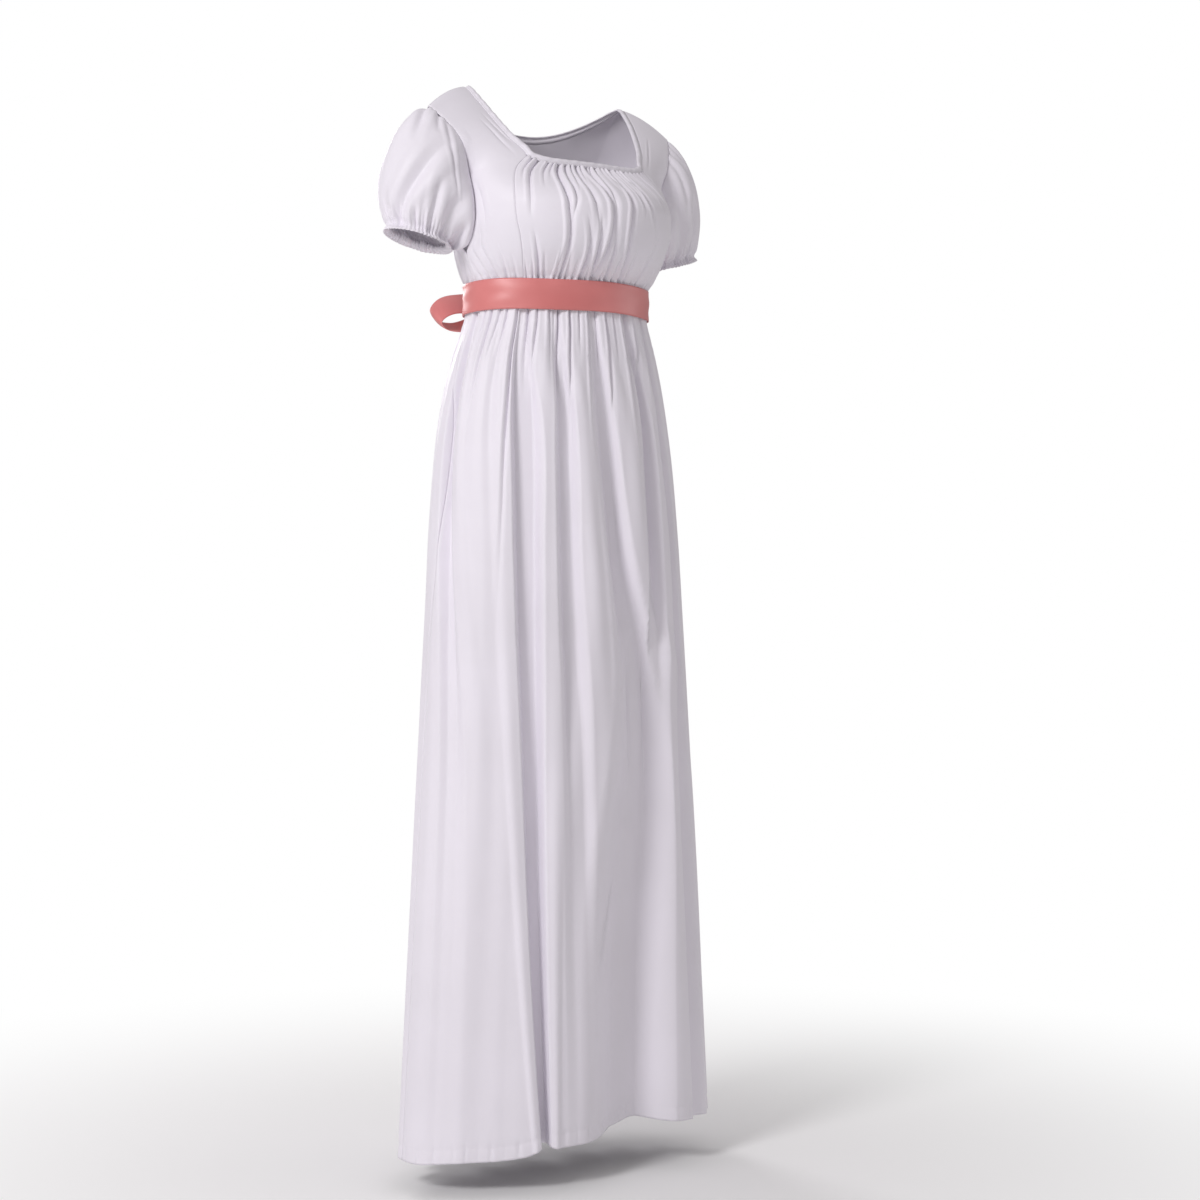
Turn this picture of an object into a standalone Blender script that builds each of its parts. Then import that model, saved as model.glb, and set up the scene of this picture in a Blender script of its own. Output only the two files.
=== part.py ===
"""A Regency gown, hollow as when it is worn: a short bodice with a square neck and a gathered front, short
puff sleeves, a long skirt gathered into a high waist, and a ribbon sash tied in a bow behind.

Metres, +Z up. The gown faces -Y, and the wearer's left is +X. The origin lies midway between the shoulders,
level with the neck ends of the shoulder seams. Tables are in millimetres and degrees. A bearing is an angle
round the body: 0 at the front centre, 90 at the wearer's left side, 180 at the back centre.
"""

from collections import namedtuple

import bpy
import numpy as np

MM = 0.001

# Cloth and seams
CLOTH = 1.4
RIBBON = 1.2
BINDING = 2.6
BINDING_WIDTH = 8
SEAM_GAP = 0.36
HALF_GAP = SEAM_GAP / 2
SHOULDER_GAP = 0.8
SKIRT_SEAM_GAP = 0.35

# Heights along the body
NECK_CORNER = -94
NECK_FRONT_DIP = 9.5
NECK_CORNER_POWER = 6
FRONT_YOKE_START = -116
BACK_YOKE_START = -124
UNDERARM = -207
WAIST_SEAM = -262
ABOVE_SASH = -244.5
HEM = -1317

# Sash and bow
SASH_WIDTH = 38
SASH_MIDDLE = -265
SASH_STANDS_OUT = 2.8
KNOT_SIZE = (26, 16, 38)
KNOT_CENTRE = (0, 113.5, -265)
TAIL_HEIGHTS = (-286, -740)
TAIL_MIDDLES = (11, 50)
TAIL_HALF_WIDTHS = (9, 19)
TAIL_WIDENS_OVER = 0.4
TAIL_STANDS_OUT = 7

# How finely each piece is divided
FRONT_COLUMNS = 25
SIDE_COLUMNS = 8
SCOOP_COLUMNS = 6
RING_ROWS = 12
BODICE_ROWS = 8
YOKE_ROWS = 5
NECK_COLUMNS = 60
SLEEVE_COLUMNS = 24
SLEEVE_ROWS = 8
SASH_COLUMNS = 48
LOOP_COLUMNS = 21
TAIL_ROWS = 12

Ring = namedtuple("Ring", "height half_width front back princess armhole_front armhole_back")
BODICE_RINGS = (
    Ring(-262, 124.5, 87.0, 100.5, 48.0, 90, 90),
    Ring(-244, 125.5, 88.5, 101.0, 48.0, 90, 90),
    Ring(-236, 130.0, 98.0, 103.0, 48.5, 90, 90),
    Ring(-214, 138.5, 120.0, 106.0, 50.5, 90, 90),
    Ring(-196, 143.0, 131.0, 109.0, 52.0, 83, 99),
    Ring(-180, 146.5, 136.0, 110.0, 53.3, 79, 106),
    Ring(-160, 148.0, 137.0, 110.0, 54.0, 78, 111),
    Ring(-140, 149.0, 126.0, 109.0, 52.5, 78, 113),
    Ring(-125, 150.0, 108.0, 107.0, 49.5, 78, 114),
    Ring(-110, 151.0, 89.0, 105.0, 44.5, 78, 114),
    Ring(-94, 151.5, 75.0, 103.0, 36, 78, 114),
)
BACK_NECK_BEARING = 135

# Rows of the yoke: the neck end, the armhole end, and how far the middle stands out from between them. Front
# rows climb from the chest to the shoulder seam, back rows from the shoulder blades. A back row's neck end
# goes on to the centre back.
YokeRow = namedtuple("YokeRow", "neck armhole crown centre", defaults=(None,))
FRONT_YOKE = (
    YokeRow((103, -40, -69), (157, -23, -86), (0, -4, 2)),
    YokeRow((114, -14, -39), (168, -13, -61), (0, -3, 2)),
    YokeRow((120, 9, -15), (180, 3, -42), (0, -1, 2)),
)
BACK_YOKE = (
    YokeRow((111, 80, -82), (152, 55, -92), (0, 3, 1), (0, 99, -96)),
    YokeRow((118, 67, -43), (167, 45, -63), (0, 3, 2), (0, 93, -74)),
    YokeRow((122, 48, -12), (179, 29, -43), (0, 1, 2), (0, 88, -58)),
)
SHOULDER = YokeRow((123, 31, 2), (186, 14, -33), (0, 0, 5), (0, 84, -46))
SCOOP_POWER = 2.2

# Gathers of the front bodice panel: where each lies along the neck and along the waist, from -1 to 1.
Gather = namedtuple("Gather", "neck waist depth")
FRONT_GATHERS = (
    Gather(-0.80, -0.66, 1.8),
    Gather(-0.52, -0.40, 2.6),
    Gather(-0.26, -0.18, 3.0),
    Gather(0.00, 0.02, 2.6),
    Gather(0.24, 0.22, 3.0),
    Gather(0.50, 0.44, 2.6),
    Gather(0.78, 0.68, 2.0),
)
GATHER_HALF_WIDTH = 0.11
GATHER_AT_BUST = 0.35

# How the sleeve leaves the armhole and comes up from the cuff, at the shoulder, front, underarm and back.
SleeveSide = namedtuple("SleeveSide", "leave rise")
SLEEVE_SIDES = (
    SleeveSide((42, 4, -6), (20, 12, 58)),
    SleeveSide((22, -22, -6), (2, -18, 52)),
    SleeveSide((14, 2, -10), (-6, 0, 4)),
    SleeveSide((26, 34, -6), (6, 28, 54)),
)
CUFF_CENTRE = (193, 27, -192)
CUFF_RADIUS = 40
CUFF_LIFT = (12, -2)
CUFF_RUFFLE = (2.5, 6)
SLEEVE_GATHERS = 12
SLEEVE_GATHER_DEPTH = 1.4
SLEEVE_INSIDE_ARMHOLE = 1.8

SkirtRing = namedtuple("SkirtRing", "height half_width front back")
SKIRT_RINGS = (
    SkirtRing(-262, 124.5, 87.0, 100.5),
    SkirtRing(-286, 124.5, 87.0, 101.5),
    SkirtRing(-300, 128.0, 89.0, 107.0),
    SkirtRing(-340, 141.0, 93.0, 124.0),
    SkirtRing(-440, 160.0, 102.0, 142.0),
    SkirtRing(-540, 170.0, 111.0, 143.0),
    SkirtRing(-643, 178.0, 114.0, 138.0),
    SkirtRing(-770, 188.0, 114.0, 134.0),
    SkirtRing(-1050, 208.0, 113.0, 122.0),
    SkirtRing(-1330, 226.0, 115.0, 114.0),
)

# A trough between two folds of the skirt: its bearing, half width and depth below the sash, at the hip and at
# the hem. The troughs run round from one side seam to the other, and each seam lies on a fold between two.
Trough = namedtuple("Trough", "bearings half_widths depths")
TROUGH_HEIGHTS = (HEM, -560, -284)
FRONT_TROUGHS = (
    Trough((-84, -88, -84), (7, 5, 5), (5, 6, 2)),
    Trough((-25, -38, -47), (6, 7, 6), (38, 10, 3)),
    Trough((-9, -20, -28), (8, 8, 6), (14, 8, 3)),
    Trough((12, -3, -7), (11, 7, 6), (36, 9, 3)),
    Trough((33, 20, 18), (8, 8, 6), (12, 9, 3)),
    Trough((53, 48, 44), (8, 9, 6), (14, 7, 3)),
    Trough((76, 74, 70), (9, 8, 6), (15, 8, 2)),
)
BACK_TROUGHS = (
    Trough((112, 110, 108), (8, 8, 6), (20, 8, 2)),
    Trough((133, 133, 132), (9, 9, 7), (24, 9, 2)),
    Trough((154, 154, 155), (8, 8, 7), (18, 8, 2)),
    Trough((176, 177, 178), (11, 9, 7), (28, 10, 2)),
    Trough((201, 202, 203), (8, 8, 7), (20, 8, 2)),
    Trough((225, 225, 226), (10, 9, 7), (25, 10, 2)),
    Trough((250, 249, 248), (9, 8, 6), (20, 10, 2)),
)
TROUGH_PROFILE = ((-1, 0), (-0.5, 0.5), (0, 1), (0.5, 0.5), (1, 0))
FOLD_ROUNDS_OUT = 0.12
SKIRT_HEIGHTS = (-286, -312, -370, -460, -600, -780, -1020)

# The hem lifts a little where the cloth hangs over a fuller side.
HEM_BEARINGS = (-97, -85, -60, -20, 15, 60, 120, 180, 263)
HEM_LIFTS = (-12, -12, -8, 0, 8, 6, 3, 2, -12)

# The middle of a bow loop's ribbon, out from the knot and back, with the ribbon's lean from upright.
Station = namedtuple("Station", "out back height lean width")
LOOP = (
    Station(13.5, 111, -262, 10, 22),
    Station(40, 117, -257, 25, 33),
    Station(78, 119, -258, 45, 37),
    Station(102, 119, -266, 50, 36),
    Station(111, 119, -277, 56, 35),
    Station(103, 119, -287, 62, 35),
    Station(80, 120, -290, 66, 36),
    Station(42, 120, -282, 45, 33),
    Station(13.5, 117, -268, 18, 22),
)

WHITE_SATIN = ("white_satin", (0.83, 0.81, 0.88, 1.0), 0.45)
CORAL_RIBBON = ("coral_ribbon", (0.78, 0.27, 0.24, 1.0), 0.32)


def smooth(at, places, values):
    """Values at the given places, read from a smooth curve through a table's rows that never swings past
    them. The places rise."""
    places = np.asarray(places, float)
    values = np.asarray(values, float)
    at = np.clip(np.asarray(at, float), places[0], places[-1])
    spread = (-1,) + (1,) * (values.ndim - 1)
    steps = np.diff(values, axis=0) / np.diff(places).reshape(spread)
    before, after = steps[:-1], steps[1:]
    least = np.minimum(np.abs(before), np.abs(after))
    turning = np.where(before * after > 0, np.sign(before), 0)
    inner = turning * np.minimum(np.abs(before + after) / 2, 3 * least)
    slopes = np.concatenate([steps[:1], inner, steps[-1:]])
    first = np.clip(np.searchsorted(places, at, side="right") - 1, 0, len(places) - 2)
    shape = at.shape + (1,) * (values.ndim - 1)
    span = (places[first + 1] - places[first]).reshape(shape)
    part = (at - places[first]).reshape(shape) / span
    start = (1 + 2 * part) * (1 - part) ** 2 * values[first]
    end = part**2 * (3 - 2 * part) * values[first + 1]
    bend = part * (1 - part) * span * ((1 - part) * slopes[first] - part * slopes[first + 1])
    return start + end + bend


def read(rings, name, height):
    """One column of a ring table at a height, with its rows taken in order of rising height."""
    rings = sorted(rings)
    return smooth(height, [ring.height for ring in rings], [getattr(ring, name) for ring in rings])


def round_body(rings, height, bearing):
    """Points on the rings of a table, at heights and bearings of one shape."""
    turn = np.radians(bearing)
    depth = np.where(np.cos(turn) > 0, read(rings, "front", height), read(rings, "back", height))
    x = read(rings, "half_width", height) * np.sin(turn)
    return np.stack([x, -depth * np.cos(turn), height + 0 * turn], axis=-1)


def dip(place):
    """A smooth hollow of depth 1 at place 0, gone by -1 and 1."""
    return np.cos(np.clip(place, -1, 1) * np.pi / 2) ** 2


def lengths(points):
    """The distance travelled at each point of a line."""
    steps = np.linalg.norm(np.diff(points, axis=0), axis=1)
    return np.concatenate([[0.0], np.cumsum(steps)])


def along(points, wanted):
    travelled = lengths(points)
    return np.stack([np.interp(wanted, travelled, points[:, axis]) for axis in range(3)], axis=1)


def drawn_in(points, start_gap, end_gap):
    """The same line with its two ends drawn in by the gaps, and its points spread as before."""
    travelled = lengths(points)
    return along(points, start_gap + travelled * (1 - (start_gap + end_gap) / travelled[-1]))


def trimmed(grid, row_start=0.0, row_end=0.0, bottom=0.0, top=0.0):
    """A grid drawn in from its four edges, along its own lines."""
    grid = np.array([drawn_in(row, row_start, row_end) for row in grid])
    lines = [drawn_in(line, bottom, top) for line in grid.swapaxes(0, 1)]
    return np.array(lines).swapaxes(0, 1)


def normals_of(grid):
    """Unit vectors square to a grid, outwards where its rows run by rising bearing and its columns climb."""
    normal = np.cross(np.gradient(grid, axis=1), np.gradient(grid, axis=0))
    return normal / np.linalg.norm(normal, axis=2, keepdims=True)


def mirrored(grid):
    """The grid of the opposite side, with its rows turned so that they still run by rising bearing."""
    return (grid * (-1, 1, 1))[:, ::-1]


def through(rows, stops, counts):
    """A grid over the smooth surface through the given rows: from each stop, a row's number, to the next, it
    has as many evenly spaced rows as the count says."""
    rows = np.asarray(rows, float)
    steps = np.linalg.norm(np.diff(rows, axis=0), axis=2).mean(axis=1)
    travelled = np.concatenate([[0.0], np.cumsum(steps)])
    places = [np.linspace(travelled[a], travelled[b], n, endpoint=False)
              for a, b, n in zip(stops, stops[1:], counts)]
    places.append([travelled[stops[-1]]])
    return smooth(np.concatenate(places), travelled, rows)


def finish(name, look):
    slot, colour, roughness = look
    material = bpy.data.materials.new(f"{name}_{slot}")
    material.use_nodes = True
    shader = material.node_tree.nodes["Principled BSDF"]
    shader.inputs["Base Color"].default_value = colour
    shader.inputs["Roughness"].default_value = roughness
    shader.inputs["Metallic"].default_value = 0.0
    return material


def add_mesh(collection, name, points, faces, look):
    mesh = bpy.data.meshes.new(name)
    mesh.from_pydata((np.reshape(points, (-1, 3)) * MM).tolist(), [], faces)
    mesh.materials.append(finish(name, look))
    mesh.shade_smooth()
    piece = bpy.data.objects.new(name, mesh)
    collection.objects.link(piece)
    return piece


def add_sheet(collection, name, grid, look, thickness, closed=False):
    """One cloth piece: an open sheet lofted through a grid's rows and thickened by Solidify. A closed one
    joins its last column to its first."""
    rows, columns = grid.shape[:2]
    faces = []
    for row in range(rows - 1):
        for column in range(columns if closed else columns - 1):
            low = row * columns
            after = (column + 1) % columns
            faces.append((low + column, low + after, low + columns + after, low + columns + column))
    piece = add_mesh(collection, name, grid, faces, look)
    thicken = piece.modifiers.new("thickness", "SOLIDIFY")
    thicken.thickness = thickness * MM
    thicken.offset = 0


def yoke_row(row):
    """The points of a yoke row, from its neck end to its armhole end."""
    across = np.linspace(0, 1, SIDE_COLUMNS)[:, None]
    straight = (1 - across) * np.array(row.neck) + across * np.array(row.armhole)
    return straight + 4 * across * (1 - across) * np.array(row.crown)


def climb_to(top, count):
    """Heights from the waist seam to a top height, of which the second is just above the sash."""
    return np.concatenate([[WAIST_SEAM], np.linspace(ABOVE_SASH, top, count - 1)])


def side_front_grid():
    """The wearer's left side front, from the princess seam and neck out to the side seam and armhole."""
    rows = []
    for inner, outer in zip(climb_to(NECK_CORNER, RING_ROWS), climb_to(FRONT_YOKE_START, RING_ROWS)):
        height = np.linspace(inner, outer, SIDE_COLUMNS)
        start = read(BODICE_RINGS, "princess", inner)
        end = read(BODICE_RINGS, "armhole_front", outer)
        rows.append(round_body(BODICE_RINGS, height, np.linspace(start, end, SIDE_COLUMNS)))
    rows += [yoke_row(row) for row in FRONT_YOKE + (SHOULDER, BACK_YOKE[-1])]
    return through(rows, (0, 1, RING_ROWS - 1, len(rows) - 2), (1, BODICE_ROWS - 1, YOKE_ROWS))


def centre_front_grid():
    """The gathered front panel between the princess seams, before it is gathered."""
    edge_height = climb_to(NECK_CORNER, BODICE_ROWS + 1)
    across, edge_height = np.meshgrid(np.linspace(-1, 1, FRONT_COLUMNS), edge_height)
    up = (edge_height - ABOVE_SASH) / (NECK_CORNER - ABOVE_SASH)
    height = edge_height - NECK_FRONT_DIP * (1 - across**NECK_CORNER_POWER) * np.maximum(up, 0)
    bearing = across * read(BODICE_RINGS, "princess", edge_height)
    return round_body(BODICE_RINGS, height, bearing)


def gathered(grid):
    """The front panel with its gathers pressed in, deepest at the neck and at the waist."""
    across, up = np.meshgrid(np.linspace(-1, 1, grid.shape[1]), np.linspace(0, 1, grid.shape[0]))
    strength = GATHER_AT_BUST + (1 - GATHER_AT_BUST) * np.abs(2 * up - 1)
    depth = np.zeros_like(across)
    for gather in FRONT_GATHERS:
        middle = gather.waist + (gather.neck - gather.waist) * up
        depth += gather.depth * dip((across - middle) / GATHER_HALF_WIDTH)
    return grid - normals_of(grid) * (depth * strength)[..., None]


def back_grid():
    """The back in one piece, from the wearer's left side seam and armhole round to the right ones, up to the
    shoulder seams and the scooped back neck."""
    fall = np.linspace(0, 1, SCOOP_COLUMNS)[1:]
    halves = []
    for height in climb_to(BACK_YOKE_START, RING_ROWS):
        arm = np.linspace(read(BODICE_RINGS, "armhole_back", height), BACK_NECK_BEARING, SIDE_COLUMNS)
        scoop = BACK_NECK_BEARING + (180 - BACK_NECK_BEARING) * fall
        bearing = np.concatenate([arm, scoop])
        halves.append(round_body(BODICE_RINGS, height + 0 * bearing, bearing))
    for row in BACK_YOKE + (SHOULDER,):
        side = (1 - fall)[:, None]
        scoop = np.array(row.centre) - (np.array(row.centre) - np.array(row.neck)) * side**SCOOP_POWER
        scoop[:, 0] = row.neck[0] * side[:, 0]
        halves.append(np.concatenate([yoke_row(row)[::-1], scoop]))
    beyond = 2 * halves[-1] - halves[-2]
    beyond[:SIDE_COLUMNS] = yoke_row(FRONT_YOKE[-1])[::-1]
    halves.append(beyond)
    last = len(halves) - 2
    half = through(halves, (0, 1, RING_ROWS - 1, last), (1, BODICE_ROWS - 1, YOKE_ROWS))
    return np.concatenate([half, mirrored(half)[:, 1:]], axis=1)


def neck_edge(front, side, back):
    """The line of the neck's cut edge all round, by rising bearing from the front's right-hand corner, with
    the way out of the cloth at each point."""
    neck_column = SIDE_COLUMNS - 1
    scoop = slice(neck_column, back.shape[1] - neck_column)
    other = mirrored(side)
    pairs = (
        (front[-1], normals_of(front)[-1]),
        (side[BODICE_ROWS:, 0], normals_of(side)[BODICE_ROWS:, 0]),
        (back[-1, scoop], normals_of(back)[-1, scoop]),
        (other[:BODICE_ROWS - 1:-1, -1], normals_of(other)[:BODICE_ROWS - 1:-1, -1]),
    )
    points = np.concatenate([points[:-1] for points, _ in pairs])
    ways = np.concatenate([ways[:-1] for _, ways in pairs])
    return points, ways


def closed_evenly(points, values, count):
    """A closed line's points and the values at them, spaced evenly all the way round."""
    ring = np.concatenate([points, points[:1]])
    held = np.concatenate([values, values[:1]])
    travelled = lengths(ring)
    wanted = np.linspace(0, travelled[-1], count, endpoint=False)
    even = [np.stack([np.interp(wanted, travelled, line[:, axis]) for axis in range(3)], axis=1)
            for line in (ring, held)]
    return even


def rounded(line):
    """A closed line with each point moved half way to the middle of its neighbours."""
    return line / 2 + (np.roll(line, 1, axis=0) + np.roll(line, -1, axis=0)) / 4


def binding_grid(front, side, back):
    """A narrow strip inside the neck's edge, in line with the cloth that it binds."""
    points, ways = closed_evenly(*neck_edge(front, side, back), NECK_COLUMNS)
    points, ways = rounded(points), rounded(rounded(ways))
    run = np.roll(points, -1, axis=0) - np.roll(points, 1, axis=0)
    inwards = np.cross(ways, run)
    inwards /= np.linalg.norm(inwards, axis=1, keepdims=True)
    return np.array([points + inwards * reach for reach in (SEAM_GAP, SEAM_GAP + BINDING_WIDTH)])


def armhole_ring(side, back):
    """The wearer's left armhole: from the shoulder down the front to the underarm and up the back."""
    front = side[::-1, -1]
    rear = back[:, 0]
    front = front[front[:, 2] >= UNDERARM]
    rear = rear[rear[:, 2] >= UNDERARM]
    half = SLEEVE_COLUMNS // 2
    down = along(front, np.linspace(0, lengths(front)[-1], half, endpoint=False))
    up = along(rear, np.linspace(0, lengths(rear)[-1], half, endpoint=False))
    ring = np.concatenate([down, up])
    towards = ring.mean(axis=0) - ring
    return ring + towards / np.linalg.norm(towards, axis=1, keepdims=True) * SLEEVE_INSIDE_ARMHOLE


def round_sides(name, turn):
    """A column of the sleeve's four sides, read smoothly at any turn."""
    shoulder, front, under, back = (np.array(getattr(side, name), float) for side in SLEEVE_SIDES)
    once = (shoulder - under) / 2 * np.cos(turn) + (front - back) / 2 * np.sin(turn)
    twice = (shoulder - front + under - back) / 4 * np.cos(2 * turn)
    return (shoulder + front + under + back) / 4 + once + twice


def sleeve_grid(side, back):
    """The wearer's left sleeve, from the armhole out over its puff and down to the gathered cuff."""
    start = armhole_ring(side, back)
    turn = np.linspace(0, 2 * np.pi, SLEEVE_COLUMNS, endpoint=False)[:, None]
    outwards = np.concatenate([np.cos(turn), -np.sin(turn), 0 * turn], axis=1)
    lift = CUFF_LIFT[0] * np.cos(turn) + CUFF_LIFT[1] * np.sin(turn)
    end = np.array(CUFF_CENTRE) + outwards * CUFF_RADIUS + lift * np.array((0, 0, 1))
    leaving = start + round_sides("leave", turn)
    arriving = end + round_sides("rise", turn)
    rows = []
    for part in np.linspace(0, 1, SLEEVE_ROWS):
        row = ((1 - part) ** 3 * start + 3 * part * (1 - part) ** 2 * leaving
               + 3 * part**2 * (1 - part) * arriving + part**3 * end)
        puff = SLEEVE_GATHER_DEPTH * part**3 * np.cos(SLEEVE_GATHERS * turn)
        rows.append(row + outwards * puff)
    ruffle_out, ruffle_down = CUFF_RUFFLE
    rows.append(rows[-1] + outwards * ruffle_out - np.array((0, 0, ruffle_down)))
    return np.array(rows)


def skirt_columns(height):
    """The bearing and the depth of every column round the skirt at one height, from the right side seam
    round to it again: six to a trough, of which the first lies on the fold before it."""
    starts, ends, lines = [], [], []
    for trough in FRONT_TROUGHS + BACK_TROUGHS:
        middle, half_width, deep = (float(smooth(height, TROUGH_HEIGHTS, values)) for values in trough)
        lines.append([(middle + half_width * aside, deep * down) for aside, down in TROUGH_PROFILE])
        starts.append(middle - half_width)
        ends.append(middle + half_width)
    columns = []
    for start, end_before, line in zip(starts, [ends[-1] - 360] + ends, lines):
        fold_height = FOLD_ROUNDS_OUT * line[len(line) // 2][1]
        columns += [((start + end_before) / 2, -fold_height)] + line
    columns.append((columns[0][0] + 360, columns[0][1]))
    return np.array(columns)


def skirt_grid():
    """The whole skirt from the hem up to the waist seam, round from the right side seam to it again."""
    rows = []
    for height in (HEM,) + SKIRT_HEIGHTS[::-1] + (WAIST_SEAM - SEAM_GAP,):
        bearing, depth = skirt_columns(height).T
        level = height + 0 * bearing
        if height == HEM:
            level += np.interp(bearing, HEM_BEARINGS, HEM_LIFTS)
        if height > SKIRT_HEIGHTS[0]:
            depth = 0 * depth
        turn = np.radians(bearing)
        inwards = np.stack([-np.sin(turn), np.cos(turn), 0 * turn], axis=-1)
        rows.append(round_body(SKIRT_RINGS, level, bearing) + inwards * depth[:, None])
    return np.array(rows)


def sash_grid():
    """The ribbon round the waist seam, made from the waist's own ring moved out."""
    bearing = np.linspace(-180, 180, SASH_COLUMNS, endpoint=False)
    waist = round_body(BODICE_RINGS, WAIST_SEAM + 0 * bearing, bearing)
    turn = np.radians(bearing)
    outwards = np.stack([np.sin(turn), -np.cos(turn), 0 * turn], axis=1)
    edges = []
    for height in (SASH_MIDDLE - SASH_WIDTH / 2, SASH_MIDDLE + SASH_WIDTH / 2):
        edge = waist + outwards * SASH_STANDS_OUT
        edge[:, 2] = height
        edges.append(edge)
    return np.array(edges)


def loop_grid():
    """The wearer's left bow loop: a ribbon that leaves the knot, turns over and comes back below itself."""
    table = np.array(LOOP, float)
    travelled = lengths(table[:, :3])
    out, back, height, lean, width = smooth(
        np.linspace(0, travelled[-1], LOOP_COLUMNS), travelled, table
    ).T
    middle = np.stack([out, back, height], axis=1)
    lean = np.radians(lean)
    upright = np.stack([0 * lean, np.sin(lean), np.cos(lean)], axis=1) * width[:, None] / 2
    return np.array([middle - upright, middle, middle + upright])


def tail_grid():
    """The wearer's left sash tail, which hangs down the back of the skirt just clear of its folds."""
    heights = np.linspace(TAIL_HEIGHTS[1], TAIL_HEIGHTS[0], TAIL_ROWS)[:, None]
    fall = (TAIL_HEIGHTS[0] - heights) / (TAIL_HEIGHTS[0] - TAIL_HEIGHTS[1])
    middle = TAIL_MIDDLES[0] + (TAIL_MIDDLES[1] - TAIL_MIDDLES[0]) * fall
    narrow, wide = TAIL_HALF_WIDTHS
    half = narrow + (wide - narrow) * np.minimum(fall / TAIL_WIDENS_OVER, 1)
    x = middle + half * np.array((1, 0, -1))
    height = heights + 0 * x
    turn = np.pi - np.arcsin(x / read(SKIRT_RINGS, "half_width", height))
    outwards = np.stack([np.sin(turn), -np.cos(turn), 0 * turn], axis=-1)
    return round_body(SKIRT_RINGS, height, np.degrees(turn)) + outwards * TAIL_STANDS_OUT


def add_knot(collection):
    """The knot: a rounded pad that wraps the middle of the bow."""
    corners = [(x, y, z) for z in (-1, 1) for y in (-1, 1) for x in (-1, 1)]
    faces = [(0, 2, 3, 1), (4, 5, 7, 6), (0, 1, 5, 4), (2, 6, 7, 3), (0, 4, 6, 2), (1, 3, 7, 5)]
    points = np.array(KNOT_CENTRE) + np.array(corners) * np.array(KNOT_SIZE) / 2
    knot = add_mesh(collection, "sash_knot", points, faces, CORAL_RIBBON)
    knot.data.attributes.new("crease_edge", "FLOAT", "EDGE")
    for value in knot.data.attributes["crease_edge"].data:
        value.value = 0.6
    soften = knot.modifiers.new("soften", "SUBSURF")
    soften.levels = 2
    soften.render_levels = 2


def add_bodice(collection):
    front = centre_front_grid()
    side = side_front_grid()
    back = back_grid()
    add_sheet(
        collection, "bodice_front_centre",
        trimmed(gathered(front), HALF_GAP, HALF_GAP, HALF_GAP), WHITE_SATIN, CLOTH,
    )
    left = trimmed(side, HALF_GAP, HALF_GAP, HALF_GAP, SHOULDER_GAP)
    add_sheet(collection, "bodice_side_front_left", left, WHITE_SATIN, CLOTH)
    add_sheet(collection, "bodice_side_front_right", mirrored(left), WHITE_SATIN, CLOTH)
    add_sheet(
        collection, "bodice_back",
        trimmed(back, HALF_GAP, HALF_GAP, HALF_GAP, SHOULDER_GAP), WHITE_SATIN, CLOTH,
    )
    add_sheet(
        collection, "neck_binding", binding_grid(front, side, back), WHITE_SATIN, BINDING, closed=True
    )
    sleeve = sleeve_grid(side, back)
    add_sheet(collection, "sleeve_left", sleeve, WHITE_SATIN, CLOTH, closed=True)
    add_sheet(collection, "sleeve_right", mirrored(sleeve), WHITE_SATIN, CLOTH, closed=True)


def add_skirt(collection):
    grid = skirt_grid()
    left_seam = len(FRONT_TROUGHS) * (len(TROUGH_PROFILE) + 1)
    for name, columns in (
        ("skirt_front", slice(0, left_seam + 1)),
        ("skirt_back", slice(left_seam, None)),
    ):
        panel = trimmed(grid[:, columns], SKIRT_SEAM_GAP, SKIRT_SEAM_GAP)
        add_sheet(collection, name, panel, WHITE_SATIN, CLOTH)


def add_sash(collection):
    add_sheet(collection, "sash_band", sash_grid(), CORAL_RIBBON, RIBBON, closed=True)
    add_knot(collection)
    for name, grid in (("sash_loop", loop_grid()), ("sash_tail", tail_grid())):
        add_sheet(collection, name + "_left", grid, CORAL_RIBBON, RIBBON)
        add_sheet(collection, name + "_right", mirrored(grid), CORAL_RIBBON, RIBBON)


def main():
    for obj in list(bpy.data.objects):
        bpy.data.objects.remove(obj)
    gown = bpy.data.collections.new("regency_gown")
    bpy.context.scene.collection.children.link(gown)
    add_bodice(gown)
    add_skirt(gown)
    add_sash(gown)


if __name__ == "__main__":
    main()
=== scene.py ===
"""The look of a Regency gown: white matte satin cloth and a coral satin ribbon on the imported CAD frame.

Metres, +Z up, in the frame's own axes: the gown faces -Y, and the wearer's left is +X. Tables are in
millimetres and degrees. A bearing is an angle round the body: 0 at the front, 90 at the wearer's left.
"""

from collections import namedtuple

import bpy
import numpy as np
from mathutils import Matrix, Vector


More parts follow.
